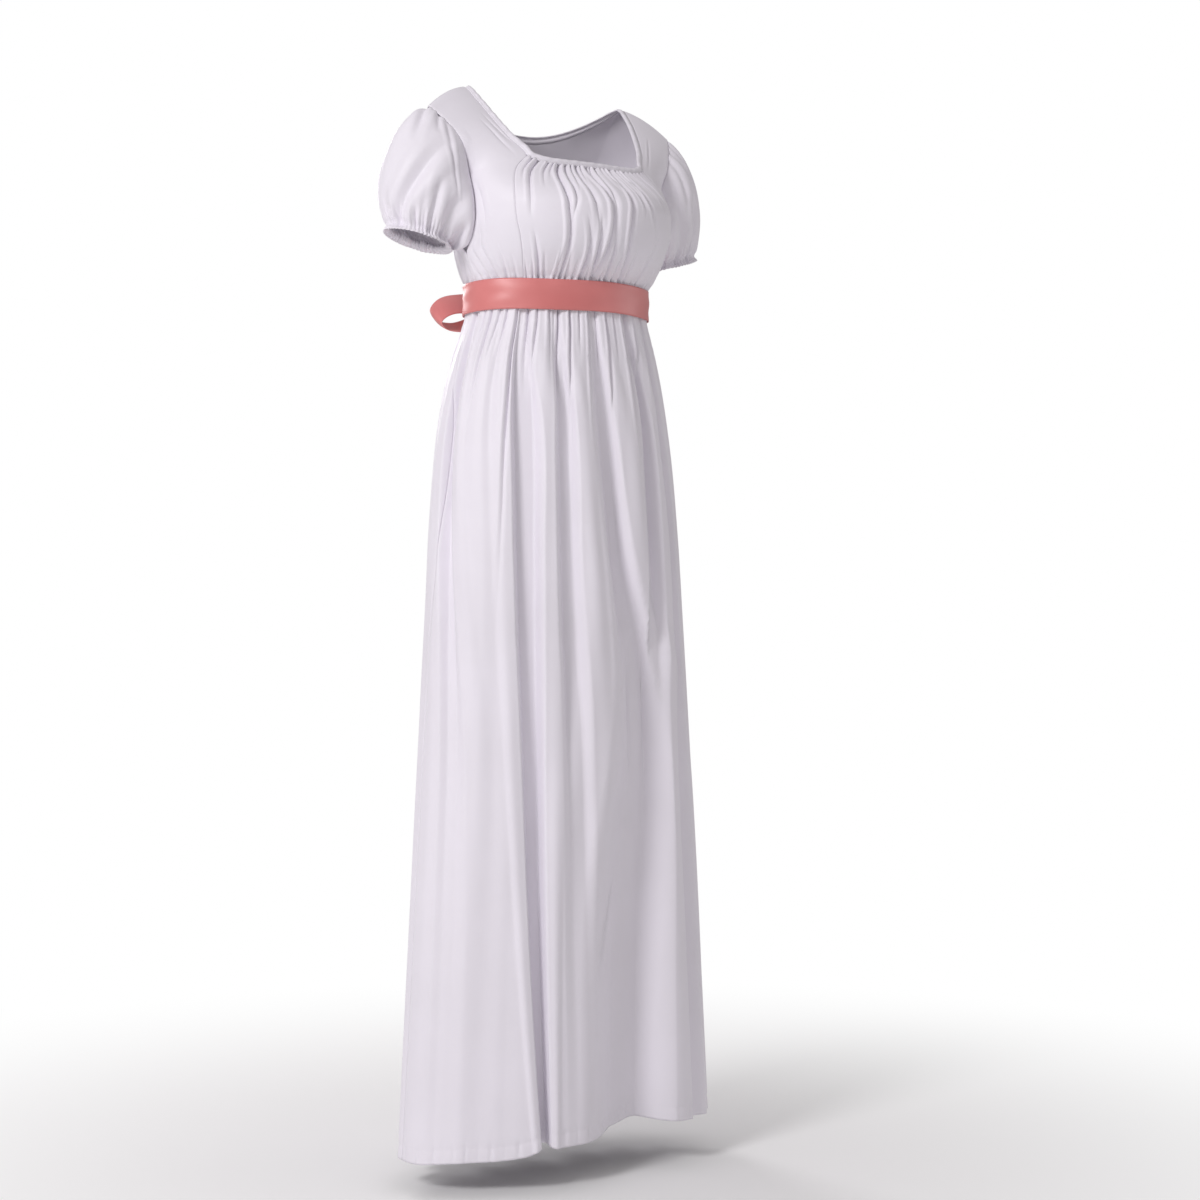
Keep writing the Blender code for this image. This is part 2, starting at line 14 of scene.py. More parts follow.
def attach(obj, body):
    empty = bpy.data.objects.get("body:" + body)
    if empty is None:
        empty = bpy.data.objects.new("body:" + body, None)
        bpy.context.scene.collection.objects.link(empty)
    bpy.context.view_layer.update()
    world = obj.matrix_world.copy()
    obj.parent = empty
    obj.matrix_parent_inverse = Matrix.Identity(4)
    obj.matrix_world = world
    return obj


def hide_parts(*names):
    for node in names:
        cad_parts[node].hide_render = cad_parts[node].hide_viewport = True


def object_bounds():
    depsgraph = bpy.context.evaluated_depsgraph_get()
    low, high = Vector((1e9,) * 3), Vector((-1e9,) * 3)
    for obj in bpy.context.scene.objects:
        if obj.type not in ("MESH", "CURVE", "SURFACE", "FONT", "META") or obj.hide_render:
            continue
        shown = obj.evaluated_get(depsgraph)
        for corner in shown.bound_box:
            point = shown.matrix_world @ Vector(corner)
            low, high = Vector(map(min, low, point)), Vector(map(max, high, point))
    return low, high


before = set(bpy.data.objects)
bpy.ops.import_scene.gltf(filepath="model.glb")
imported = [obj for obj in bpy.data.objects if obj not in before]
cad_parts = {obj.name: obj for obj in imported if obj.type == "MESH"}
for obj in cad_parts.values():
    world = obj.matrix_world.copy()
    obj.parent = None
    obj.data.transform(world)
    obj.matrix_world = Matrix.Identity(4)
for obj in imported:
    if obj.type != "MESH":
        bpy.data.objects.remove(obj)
CAD_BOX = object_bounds()

MM = 0.001

# Cloth and seams
CLOTH = 1.0
RIBBON = 0.8
NECK_STRIP = 1.6
HALF_GAP = 0.15
SEAM_SINKS = 0.7
SEAM_HALF_WIDTH = 2.2

# Heights along the body
NECK_CORNER = -94
NECK_FRONT_DIP = 9.5
NECK_CORNER_POWER = 6
FRONT_YOKE_START = -116
BACK_YOKE_START = -124
UNDERARM = -207
WAIST_SEAM = -262
SASH_TOP = -246
SASH_BOTTOM = -284
HEM = -1317

# How finely each piece is divided
FRONT_COLUMNS = 341
SIDE_COLUMNS = 72
SCOOP_COLUMNS = 36
RING_ROWS = 30
BODICE_ROWS = 82
YOKE_ROWS = 36
NECK_COLUMNS = 420
SLEEVE_COLUMNS = 318
SLEEVE_ROWS = 70
SKIRT_COLUMNS = 400
SKIRT_SAMPLES = 2400
TOP_ROWS = 20

Ring = namedtuple("Ring", "height half_width front back princess armhole_front armhole_back")
BODICE_RINGS = tuple(Ring(*row) for row in (
    (-262, 124.5, 87, 100.5, 48, 90, 90),
    (-244, 125.5, 88.5, 101, 48, 90, 90),
    (-236, 130, 98, 103, 48.5, 90, 90),
    (-214, 138.5, 120, 106, 50.5, 90, 90),
    (-196, 143, 131, 109, 52, 83, 99),
    (-180, 146.5, 136, 110, 53.3, 79, 106),
    (-160, 148, 137, 110, 54, 78, 111),
    (-140, 149, 126, 109, 52.5, 78, 113),
    (-125, 150, 108, 107, 49.5, 78, 114),
    (-110, 151, 89, 105, 44.5, 78, 114),
    (-94, 151.5, 75, 103, 36, 78, 114),
))
BACK_NECK_BEARING = 135

YokeRow = namedtuple("YokeRow", "neck armhole crown centre", defaults=(None,))
FRONT_YOKE = (
    YokeRow((103, -40, -69), (157, -23, -86), (0, -4, 2)),
    YokeRow((114, -14, -39), (168, -13, -61), (0, -3, 2)),
    YokeRow((120, 9, -15), (180, 3, -42), (0, -1, 4)),
)
BACK_YOKE = (
    YokeRow((111, 80, -82), (152, 55, -92), (0, 3, 1), (0, 99, -96)),
    YokeRow((118, 67, -43), (167, 45, -63), (0, 3, 2), (0, 93, -74)),
    YokeRow((122, 48, -12), (179, 29, -43), (0, 1, 4), (0, 88, -58)),
)
SHOULDER = YokeRow((123, 31, 2), (186, 14, -33), (0, 0, 5), (0, 84, -46))
SCOOP_POWER = 2.2

# A crease of a panel: where it lies across the panel at the bottom, middle and top of its stretch, its half
# width, its depth at those three levels, and the stretch. Across runs from -1 to 1 on the front panel and
# from 0 to 1 on the others. Up runs from 0 at the waist to 1.
Crease = namedtuple("Crease", "low middle high half_width depths bottom top")
CREASE_DEPTH = 2.1
CREASE_FADES = 0.04
PAST_NECK = 1.02
FROM_NECK = tuple(Crease(*row, top=PAST_NECK) for row in (
    (-0.86, -0.86, -0.86, 0.05, (0, 1.6, 3), 0.52),
    (-0.93, -0.93, -0.94, 0.035, (0, 0.7, 1.5), 0.8),
    (-0.72, -0.72, -0.72, 0.04, (0, 0.9, 2.2), 0.76),
    (-0.65, -0.65, -0.65, 0.03, (0, 0.6, 1.6), 0.84),
    (-0.54, -0.5, -0.58, 0.06, (2.6, 2.4, 3.2), 0),
    (-0.49, -0.43, -0.48, 0.05, (0, 1.8, 2.2), 0.46),
    (-0.4, -0.37, -0.4, 0.035, (0, 0.9, 2), 0.72),
    (-0.21, -0.27, -0.33, 0.06, (0, 2.2, 2.8), 0.44),
    (-0.25, -0.25, -0.26, 0.03, (0, 0.7, 1.7), 0.8),
    (-0.09, -0.07, -0.18, 0.065, (2, 3.2, 3.2), 0.12),
    (-0.12, -0.12, -0.11, 0.03, (0, 0.9, 1.8), 0.72),
    (-0.03, -0.04, -0.04, 0.05, (0, 2, 2.4), 0.5),
    (0.06, 0.05, 0.05, 0.03, (0, 0.8, 1.8), 0.76),
    (0.36, 0.13, 0.2, 0.06, (2.4, 2.6, 3), 0),
    (0.12, 0.12, 0.12, 0.035, (0, 0.9, 2), 0.74),
    (0.3, 0.29, 0.31, 0.045, (0, 1.6, 2.4), 0.58),
    (0.38, 0.37, 0.38, 0.03, (0, 0.7, 1.7), 0.8),
    (0.52, 0.39, 0.46, 0.055, (0, 1.8, 2.6), 0.44),
    (0.56, 0.56, 0.55, 0.035, (0, 0.8, 2), 0.74),
    (0.66, 0.66, 0.64, 0.045, (0, 1.3, 2.2), 0.6),
    (0.75, 0.75, 0.73, 0.035, (0, 0.8, 1.8), 0.76),
    (0.9, 0.87, 0.82, 0.05, (0, 1.5, 2.4), 0.5),
    (0.93, 0.93, 0.92, 0.035, (0, 0.8, 1.6), 0.78),
))
FROM_WAIST = tuple(Crease(*row) for row in (
    (-0.95, -0.97, -0.99, 0.04, (2, 0.9, 0), 0, 0.28),
    (-0.87, -0.88, -0.89, 0.035, (2.2, 1, 0), 0, 0.24),
    (-0.79, -0.83, -0.86, 0.05, (3, 1.7, 0), 0, 0.46),
    (-0.7, -0.74, -0.76, 0.04, (2.6, 1.2, 0), 0, 0.3),
    (-0.62, -0.58, -0.55, 0.045, (2.8, 1.4, 0), 0, 0.36),
    (-0.45, -0.46, -0.47, 0.045, (2.8, 1.4, 0), 0, 0.32),
    (-0.36, -0.37, -0.38, 0.035, (2.4, 1, 0), 0, 0.26),
    (-0.27, -0.28, -0.34, 0.055, (3, 2.2, 0), 0, 0.58),
    (-0.18, -0.2, -0.22, 0.035, (2.4, 1, 0), 0, 0.26),
    (-0.09, -0.18, -0.2, 0.055, (3, 2.6, 0), 0, 0.6),
    (0.02, 0, -0.02, 0.035, (2.4, 1.1, 0), 0, 0.28),
    (0.12, 0.01, -0.06, 0.055, (3, 2.2, 0), 0, 0.58),
    (0.22, 0.16, 0.12, 0.04, (2.6, 1.2, 0), 0, 0.34),
    (0.47, 0.35, 0.28, 0.045, (2.8, 1.5, 0), 0, 0.38),
    (0.56, 0.52, 0.5, 0.035, (2.4, 1.1, 0), 0, 0.28),
    (0.69, 0.58, 0.56, 0.05, (3, 1.7, 0), 0, 0.52),
    (0.79, 0.76, 0.75, 0.035, (2.4, 1, 0), 0, 0.26),
    (0.88, 0.85, 0.83, 0.045, (2.6, 1.3, 0), 0, 0.36),
))
FRONT_CREASES = FROM_NECK + FROM_WAIST
NEAR_SIDE_CREASES = tuple(Crease(*row) for row in (
    (0.38, 0.62, 0.92, 0.1, (2.4, 1.4, 0), 0, 0.44),
    (0.54, 0.74, 0.96, 0.08, (2.4, 1.2, 0), 0, 0.34),
    (0.7, 0.86, 1, 0.08, (2, 1, 0), 0, 0.24),
    (0.25, 0.29, 0.36, 0.06, (2.4, 1.2, 0), 0, 0.26),
    (0.1, 0.12, 0.16, 0.05, (2.2, 0.9, 0), 0, 0.2),
    (0.16, 0.26, 0.34, 0.08, (0, 0.7, 0), 0.7, 0.86),
    (0.05, 0.12, 0.18, 0.06, (0, 0.6, 0), 0.74, 0.88),
    (0.62, 0.78, 0.92, 0.16, (0, 1, 0), 0.3, 0.66),
))
FAR_SIDE_CREASES = tuple(Crease(*row) for row in (
    (0.34, 0.58, 0.9, 0.1, (2.2, 1.3, 0), 0, 0.42),
    (0.5, 0.72, 0.94, 0.08, (2.4, 1.1, 0), 0, 0.3),
    (0.74, 0.86, 0.98, 0.08, (1.8, 0.9, 0), 0, 0.26),
    (0.2, 0.26, 0.34, 0.06, (2.4, 1.2, 0), 0, 0.28),
    (0.08, 0.1, 0.14, 0.05, (2, 0.9, 0), 0, 0.18),
    (0.12, 0.24, 0.34, 0.08, (0, 0.7, 0), 0.7, 0.88),
    (0.58, 0.74, 0.9, 0.16, (0, 1.2, 0), 0.32, 0.68),
))
# The back panel runs from the wearer's left side, 0, to the right one, 1.
BACK_CREASES = tuple(Crease(*row) for row in (
    (0.06, 0.03, 0.02, 0.03, (2, 1, 0), 0, 0.26),
    (0.13, 0.08, 0.05, 0.035, (2.2, 1.3, 0), 0, 0.36),
    (0.22, 0.2, 0.17, 0.03, (1.8, 0.9, 0), 0, 0.24),
    (0.31, 0.3, 0.28, 0.03, (1.8, 0.8, 0), 0, 0.22),
    (0.4, 0.4, 0.41, 0.035, (2.2, 1.3, 0), 0, 0.34),
    (0.46, 0.46, 0.47, 0.025, (1.8, 0.8, 0), 0, 0.2),
    (0.53, 0.53, 0.52, 0.03, (2, 1.2, 0), 0, 0.3),
    (0.61, 0.62, 0.63, 0.03, (2.2, 1, 0), 0, 0.26),
    (0.7, 0.71, 0.74, 0.03, (1.8, 0.8, 0), 0, 0.22),
    (0.79, 0.82, 0.86, 0.035, (2.2, 1.3, 0), 0, 0.38),
    (0.87, 0.92, 0.95, 0.035, (2.2, 1.2, 0), 0, 0.32),
    (0.94, 0.97, 0.98, 0.03, (2, 0.9, 0), 0, 0.22),
    (0.2, 0.16, 0.12, 0.06, (0, 1.3, 0), 0.34, 0.8),
    (0.8, 0.85, 0.89, 0.06, (0, 1.1, 0), 0.3, 0.78),
))

# The neck binding's section: how far in from the edge, and how far it stands out there
BINDING_REACH = (-0.6, 2.7, 3.3, 4.4, 5.8, 7.2, 8.2)
BINDING_CROWN = (-0.2, 0.0, 0.8, 1.4, 1.5, 1.0, -0.3)
EDGE_ROUNDINGS = 6
WAY_ROUNDINGS = 24

# How the sleeve leaves the armhole and comes up from the cuff, at the shoulder, front, underarm and back.
SleeveSide = namedtuple("SleeveSide", "leave rise")
SLEEVE_SIDES = (
    SleeveSide((42, 4, -6), (20, 12, 58)),
    SleeveSide((22, -22, -6), (2, -18, 52)),
    SleeveSide((14, 2, -10), (-6, 0, 4)),
    SleeveSide((26, 34, -6), (6, 28, 54)),
)
CUFF_CENTRE = (193, 27, -192)
CUFF_RADIUS = 40
CUFF_LIFT = (12, -2)
CUFF_RUFFLE = (3.0, 6.5)
RUFFLE_ROWS = 6
SLEEVE_INSIDE_ARMHOLE = 0.4
ARMHOLE_ROUNDINGS = 12
# A fold of a sleeve: its turn from the shoulder towards the front where it starts, half way along and where
# it ends, its half width, its depth at the same three places, and where it starts and ends between the
# armhole, 0, and the cuff's edge, 1.
SleeveFold = namedtuple("SleeveFold", "turns half_width depths start end")
NEAR_SLEEVE_FOLDS = tuple(SleeveFold(*row) for row in (
    ((-2, 14, 23), 7, (2.4, 3.4, 0), 0, 0.34),
    ((-16, -18, -22), 6, (2, 1.4, 0), 0, 0.22),
    ((-30, -34, -38), 7, (1.8, 1.4, 0), 0, 0.26),
    ((8, 12, 14), 4, (2, 0.8, 0), 0, 0.1),
    ((17, 27, 35), 6, (2.6, 2.6, 0.6), 0, 0.16),
    ((30, 66, 101), 7, (1.6, 2.2, 0.8), 0.02, 0.4),
    ((53, 46, 24), 13, (2, 7, 5), 0.2, 0.9),
    ((76, 81, 83), 8, (0, 4.2, 2.6), 0.44, 0.92),
    ((119, 110, 108), 15, (0, 4.4, 3), 0.14, 0.9),
    ((52, 54, 58), 7, (0, 1.8, 1.4), 0.72, 0.94),
    ((4, 2, 4), 9, (0, 1.4, 1.4), 0.62, 0.94),
    ((-44, -40, -34), 15, (0, 2.6, 1.6), 0.26, 0.92),
    ((152, 146, 140), 12, (0, 2, 1.6), 0.2, 0.92),
    ((196, 190, 186), 14, (0, 1.8, 1.6), 0.1, 0.92),
    ((236, 230, 228), 13, (0.6, 2.6, 1.8), 0.02, 0.92),
    ((286, 274, 262), 15, (1.6, 4, 2.4), 0.04, 0.9),
    ((306, 304, 300), 8, (2.2, 2.2, 0), 0, 0.44),
))
FAR_SLEEVE_FOLDS = tuple(SleeveFold(*row) for row in (
    ((0, 8, 14), 7, (2.4, 2.8, 0), 0, 0.3),
    ((-14, -20, -28), 7, (2.2, 2.4, 0), 0, 0.32),
    ((-32, -34, -36), 6, (1.8, 1, 0), 0, 0.18),
    ((14, 22, 30), 6, (2.4, 1.8, 0), 0, 0.22),
    ((28, 40, 52), 8, (2.4, 3.4, 1.6), 0, 0.62),
    ((46, 66, 84), 8, (1.6, 2.4, 1), 0.02, 0.46),
    ((66, 70, 80), 10, (0, 3.4, 2.4), 0.36, 0.92),
    ((98, 102, 104), 14, (0, 4, 2.8), 0.12, 0.9),
    ((20, 22, 26), 12, (0, 2.6, 2), 0.52, 0.92),
    ((-26, -22, -18), 13, (0, 2.4, 1.8), 0.4, 0.92),
    ((-64, -58, -54), 12, (0.8, 2.8, 1.6), 0.06, 0.9),
    ((136, 134, 132), 12, (0, 2.2, 1.6), 0.2, 0.92),
    ((176, 172, 170), 14, (0, 1.8, 1.6), 0.1, 0.92),
    ((222, 216, 212), 13, (0.4, 2.2, 1.8), 0.04, 0.92),
    ((262, 256, 250), 14, (1.2, 3.4, 2.2), 0.04, 0.9),
))
FOLD_FADES_IN = 0.1
FOLD_FADES_OUT = 0.16
CUFF_GATHERS = 53
CUFF_GATHER_DEPTH = 2.1
CUFF_GATHERS_REACH = 24
CUFF_GATHERS_FADE = 2.0
ELASTIC_FROM_EDGE = 8
ELASTIC_PULLS_IN = 2.0

SkirtRing = namedtuple("SkirtRing", "height half_width front back")
SKIRT_RINGS = tuple(SkirtRing(*row) for row in (
    (-262, 124.5, 87, 100.5),
    (-286, 124.5, 87, 101.5),
    (-300, 128, 89, 107),
    (-340, 141, 93, 124),
    (-440, 160, 102, 142),
    (-540, 170, 111, 143),
    (-643, 178, 114, 138),
    (-770, 188, 114, 134),
    (-1050, 208, 113, 122),
    (-1330, 226, 115, 114),
))

# A trough between two folds of the skirt: its bearing, half width and depth at each fold height from the hem
# up. The walls are the shares of the half width that its lower and higher sides slope over, and the lips are
# how far the folds on those sides lean over it, as shares of the half width.
Trough = namedtuple("Trough", "bearings half_widths depths walls lips")
FOLD_HEIGHTS = (HEM, -1050, -800, -580, -430, -300)
FRONT_TROUGHS = tuple(Trough(*row) for row in (
    ((-66, -68, -74, -89, -93, -90), (10, 10, 10, 9, 7, 4), (2, 4, 9, 17, 18, 5), (0.6, 0.9), (0.2, 0)),
    ((-50, -50, -50, -54, -60, -64), (9, 9, 8, 7, 6, 3), (3, 3, 2, 2, 3, 2), (1, 1), (0, 0)),
    ((-24, -29, -34, -38.6, -40.3, -47), (2.2, 4, 5.8, 8.1, 9.7, 5), (24, 24, 21, 19, 15, 5),
           (0.22, 0.7), (0.18, 0.15)),
    ((-8, -11.5, -15, -19.5, -20, -27), (8, 8, 8, 7, 6.5, 4), (2, 5, 11, 14, 13, 4), (0.7, 0.7), (0.3, 0.1)),
    ((11, 13, 18, 5, 1, -4), (23, 24, 18, 8, 8, 4), (44, 40, 28, 19, 15, 5), (1, 0.45), (0, 0.15)),
    ((40, 36, 32, 27.5, 29, 22), (4, 4, 5, 8, 7, 4), (0, 0, 5, 16, 17, 5), (0.7, 0.6), (0.25, 0.3)),
    ((50, 50, 48, 46, 44, 42), (8, 7, 7, 6, 5, 4), (18, 16, 13, 12, 9, 3), (0.7, 0.9), (0.2, 0.1)),
    ((66, 65, 64, 62, 60, 60), (6, 6, 6, 6, 5, 4), (12, 10, 9, 8, 6, 3), (0.9, 0.9), (0.1, 0.1)),
    ((82, 82, 81, 80, 79, 78), (7, 6, 6, 5, 5, 4), (16, 14, 11, 8, 5, 2), (0.8, 0.8), (0.1, 0.1)),
))
BACK_TROUGHS = tuple(Trough(*row) for row in (
    ((106, 107, 107, 106, 104, 103), (7, 6, 6, 5, 5, 4), (18, 15, 12, 9, 6, 2), (0.8, 0.8), (0.1, 0.1)),
    ((122, 122, 123, 124, 122, 120), (6, 6, 6, 6, 5, 4), (13, 11, 9, 8, 7, 3), (0.9, 0.9), (0.1, 0.1)),
    ((139, 140, 139, 138, 137, 136), (7, 7, 6, 6, 5, 4), (26, 22, 17, 12, 9, 3), (0.8, 0.4), (0.1, 0.5)),
    ((155, 155, 156, 156, 155, 154), (6, 5, 5, 5, 5, 4), (12, 10, 9, 8, 7, 3), (0.9, 0.9), (0.1, 0.1)),
    ((174, 173, 172, 172, 171, 170), (8, 7, 6, 6, 5, 4), (29, 24, 18, 13, 10, 4), (0.5, 0.8), (0.4, 0.1)),
    ((191, 190, 189, 188, 187, 187), (6, 6, 5, 5, 5, 4), (12, 10, 9, 9, 7, 3), (0.9, 0.9), (0.1, 0.1)),
    ((208, 207, 207, 206, 205, 204), (7, 6, 6, 6, 5, 4), (24, 20, 15, 12, 9, 3), (0.4, 0.8), (0.5, 0.1)),
    ((226, 226, 225, 224, 223, 222), (8, 7, 6, 6, 5, 4), (16, 14, 11, 9, 7, 3), (0.9, 0.9), (0.1, 0.1)),
    ((246, 246, 245, 244, 243, 242), (8, 7, 6, 6, 5, 4), (20, 17, 13, 10, 7, 3), (0.6, 0.9), (0.3, 0.1)),
))
SKIRT_LEVELS = (HEM, HEM + 36, -420, SASH_BOTTOM, WAIST_SEAM - 0.3)
SKIRT_ROWS = (13, 70, 28, 5)
FOLD_ROUNDS_OUT = 0.13
ROUNDS_TO = 2.3
LEAN_REACHES = 1.4
LEAN_FULL_DEPTH = 12
GATHERS_START = 16

# A small gather below the sash: its bearing there, how far it has drifted where it fades, its half width,
# depth and length.
Gather = namedtuple("Gather", "bearing drift half_width depth length")
SKIRT_GATHERS = tuple(Gather(*row) for row in (
    (-93, -2, 2.6, 3.2, 90), (-86, -4, 2.6, 4, 170), (-79, -3, 2.2, 2.8, 80),
    (-73, -5, 2.8, 4.6, 190), (-66, -4, 2.2, 3.6, 90), (-60, -3, 2.4, 3.8, 110),
    (-53, 1, 2, 6.5, 420), (-46, 3, 2.4, 4.2, 120), (-39, 2, 2.4, 4.4, 150),
    (-32, 4, 2.3, 4.6, 110), (-26, 3, 2.2, 5, 200), (-19, 6, 2.2, 5.4, 260),
    (-13, 1, 2, 3.4, 70), (-7, 3, 2.3, 5.6, 250), (-1, 3, 2, 4, 100),
    (5, 5, 2.2, 5.4, 240), (11, 1, 2, 3.6, 80), (17, 4, 2.2, 5.2, 260),
    (23, 1, 2, 3.4, 90), (29, 4, 2.3, 5, 220), (36, 2, 2.2, 4.2, 130),
    (43, 3, 2.3, 4.6, 200), (50, 2, 2.2, 3.6, 100), (57, 3, 2.4, 4.4, 170),
    (64, 1, 2.1, 3, 80), (71, 3, 2.4, 4, 150), (80, 1, 2.4, 3.6, 110),
    (95, 1, 2.4, 3.4, 100), (101, 1, 2, 2.6, 60), (107, 2, 2.4, 3.8, 130),
    (113, 1, 2.1, 2.8, 70), (119, 2, 2.4, 4, 140), (125, 1, 2, 2.6, 60),
    (130, 1, 2.2, 3.4, 90), (136, 2, 2.4, 4.4, 170), (141, 1, 1.9, 2.4, 50),
    (146, 1, 2.2, 3.4, 90), (152, 1, 2.4, 4.2, 150), (157, 1, 1.9, 2.4, 55),
    (162, 1, 2.2, 3.4, 95), (167, 1, 2, 2.8, 60), (172, 1, 2.4, 4.6, 190),
    (177, 0, 1.9, 2.6, 60), (182, 0, 2.2, 3.6, 110), (187, -1, 2.4, 4.2, 150),
    (192, -1, 1.9, 2.4, 55), (197, -1, 2.2, 3.4, 100), (203, -1, 2.4, 4.4, 160),
    (208, -1, 1.9, 2.4, 50), (213, -1, 2.2, 3.4, 90), (219, -2, 2.4, 4.2, 150),
    (224, -1, 1.9, 2.4, 55), (229, -1, 2.2, 3.4, 90), (236, -2, 2.4, 4, 140),
    (241, -1, 2, 2.6, 60), (247, -2, 2.4, 3.6, 120), (253, -1, 2.2, 3, 80),
))

# A short slanting crease in the skirt: its lower and upper heights, its bearings there, its half width and
# its depth.
Dent = namedtuple("Dent", "low high low_bearing high_bearing half_width depth")
SKIRT_DENTS = (
    Dent(-1112, -1008, -3, 8, 2.4, 5),
    Dent(-1064, -985, 1, 12, 1.8, 3),
    Dent(-880, -700, 20, 15, 2.6, 3),
    Dent(-1180, -1090, 118, 110, 1.8, 2),
    Dent(-1000, -900, 160, 168, 2, 2.4),
    Dent(-1150, -1040, 238, 230, 1.8, 2.2),
)

# The side seams' bearings at three heights, and the hem's lift by bearing.
SEAM_HEIGHTS = (HEM, -560, -284)
RIGHT_SEAM = (-96, -98, -98)
LEFT_SEAM = (94.5, 92, 89)
HEM_BEARINGS = (-97, -85, -60, -30, -24, -20, 0, 12, 22, 34, 60, 120, 180, 263)
HEM_LIFTS = (-12, -12, -8, -1, 9, 5, 5, 12, 18, 11, 5, 3, 2, -12)
HEM_LIFTS_BELOW = -1000
HEM_TURNING = 17
HEM_STITCH_DEPTH = 0.7
HEM_STITCH_WIDTH = 5
HEM_PUCKER_HEIGHT = 20
# Puckers along the turned hem: bearing, half width and depth.
Pucker = namedtuple("Pucker", "bearing half_width depth")
HEM_PUCKERS = tuple(
    Pucker(bearing, 1.2 + 0.5 * np.sin(3.1 * bearing), 0.9 + 0.5 * np.cos(1.7 * bearing))
    for bearing in np.arange(-92, 262, 5.3)
)

SASH_COLUMNS = 300
SASH_ROWS = 18
SASH_STANDS_OUT = 3.3
SASH_WAVES = (0.30, 0.22)
SASH_LINE_DEPTH = 0.35
KNOT_SIZE = (26, 16, 38)
KNOT_ROWS = 61
KNOT_COLUMNS = 96
KNOT_SQUARENESS = 0.72
KNOT_CENTRE = (0, 113.5, -265)
TAIL_ROWS = 150
TAIL_COLUMNS = 22
TAIL_HEIGHTS = (-286, -740)
TAIL_MIDDLES = (11, 50)
TAIL_HALF_WIDTHS = (9, 19)
TAIL_WIDENS_OVER = 0.4
TAIL_STANDS_OUT = 7
TAIL_SLANT = 14
TAIL_PLEAT_DEPTH = 1.8
TAIL_WAVE_DEPTH = 1.5
TAIL_CROWN = 1.2

# The middle of a bow loop's ribbon, out from the knot and back, with the ribbon's lean from upright.
Station = namedtuple("Station", "out back height lean width")
LOOP_COLUMNS = 130
LOOP_ROWS = 25
LOOP_PLEAT_DEPTH = 1.7
RIBBON_CURL = 0.05
LOOP = tuple(Station(*row) for row in (
    (11, 111, -262, 10, 20),
    (40, 117, -257, 25, 33),
    (78, 119, -258, 45, 37),
    (102, 119, -266, 50, 36),
    (111, 119, -277, 56, 35),
    (103, 119, -287, 62, 35),
    (80, 120, -290, 66, 36),
    (42, 120, -282, 45, 33),
    (11, 115, -268, 18, 20),
))

# The view, the floor and the light
CAMERA_TURN = -36
CAMERA_DISTANCE = 3.0
CAMERA_ASIDE = 0.0536
CAMERA_HEIGHT = -0.643
CAMERA_LENS = 70.47
SENSOR = 36
FLOOR_BELOW_HEM = 0.035
FLOOR_RADIUS = 30
FLOOR_WHITENS = (0.15, 1.5)
FLOOR_COLOUR = (0.93, 0.93, 0.93, 1)
FLOOR_ROUGHNESS = 0.9
FLOOR_SHINE = 0.1
PURE_WHITE = (1, 1, 1, 1)
AMBIENT = 0.42
AMBIENT_COLOUR = (1.0, 0.965, 0.97, 1)

# Lights: how far towards the camera, to its right and up each stands, its size, power and colour
Lamp = namedtuple("Lamp", "name back right up size power colour")
LAMPS = (
    Lamp("key", 3.1, -2.1, 1.4, 1.1, 82, (1.0, 0.985, 1.0)),
    Lamp("right", -0.8, 3.2, 0.3, 1.4, 7, (1.0, 0.99, 1.0)),
    Lamp("behind", -3.0, -1.6, 0.7, 1.3, 34, (1.0, 0.985, 1.0)),
)
LAMPS_AIM_AT = (0, 0, -0.65)

# Cloths: their two close colours, gloss, and how many threads there are to a metre in X, Y and Z
Satin = namedtuple("Satin", "name light shade roughness shine sheen threads thread_strength")
WHITE = Satin("white_matte_satin", (0.86, 0.828, 0.895, 1), (0.82, 0.79, 0.85, 1),
              0.47, 0.35, 0.22, (900, 900, 110), 0.10)
CORAL = Satin("coral_satin", (0.77, 0.240, 0.232, 1), (0.62, 0.150, 0.145, 1),
              0.40, 1.0, 0.04, (160, 160, 1500), 0.12)
SHEEN_ROUGHNESS = 0.4
GLOSS_VARIES = (-0.05, 0.08)
PATCHES = 7
PATCH_DETAIL = 3
PATCH_RANGE = (0.3, 0.65)
THREAD_DETAIL = 4
THREAD_UNEVENNESS = 0.6
THREAD_RELIEF = 0.0004


def smooth(at, places, values):
    """Values at the given places, read from a smooth curve through a table's rows that never swings past
    them. The places rise."""
    places = np.asarray(places, float)
    values = np.asarray(values, float)
    at = np.clip(np.asarray(at, float), places[0], places[-1])
    spread = (-1,) + (1,) * (values.ndim - 1)
    steps = np.diff(values, axis=0) / np.diff(places).reshape(spread)
    before, after = steps[:-1], steps[1:]
    least = np.minimum(np.abs(before), np.abs(after))
    turning = np.where(before * after > 0, np.sign(before), 0)
    inner = turning * np.minimum(np.abs(before + after) / 2, 3 * least)
    slopes = np.concatenate([steps[:1], inner, steps[-1:]])
    first = np.clip(np.searchsorted(places, at, side="right") - 1, 0, len(places) - 2)
    shape = at.shape + (1,) * (values.ndim - 1)
    span = (places[first + 1] - places[first]).reshape(shape)
    part = (at - places[first]).reshape(shape) / span
    start = (1 + 2 * part) * (1 - part) ** 2 * values[first]
    end = part**2 * (3 - 2 * part) * values[first + 1]
    bend = part * (1 - part) * span * ((1 - part) * slopes[first] - part * slopes[first + 1])
    return start + end + bend


def read(rings, name, height):
    """One column of a ring table at a height, with its rows taken in order of rising height."""
    rings = sorted(rings)
    return smooth(height, [ring.height for ring in rings], [getattr(ring, name) for ring in rings])


def outwards_at(bearing):
    """Level unit vectors out from the body at bearings."""
    turn = np.radians(bearing)
    return np.stack([np.sin(turn), -np.cos(turn), 0 * turn], axis=-1)


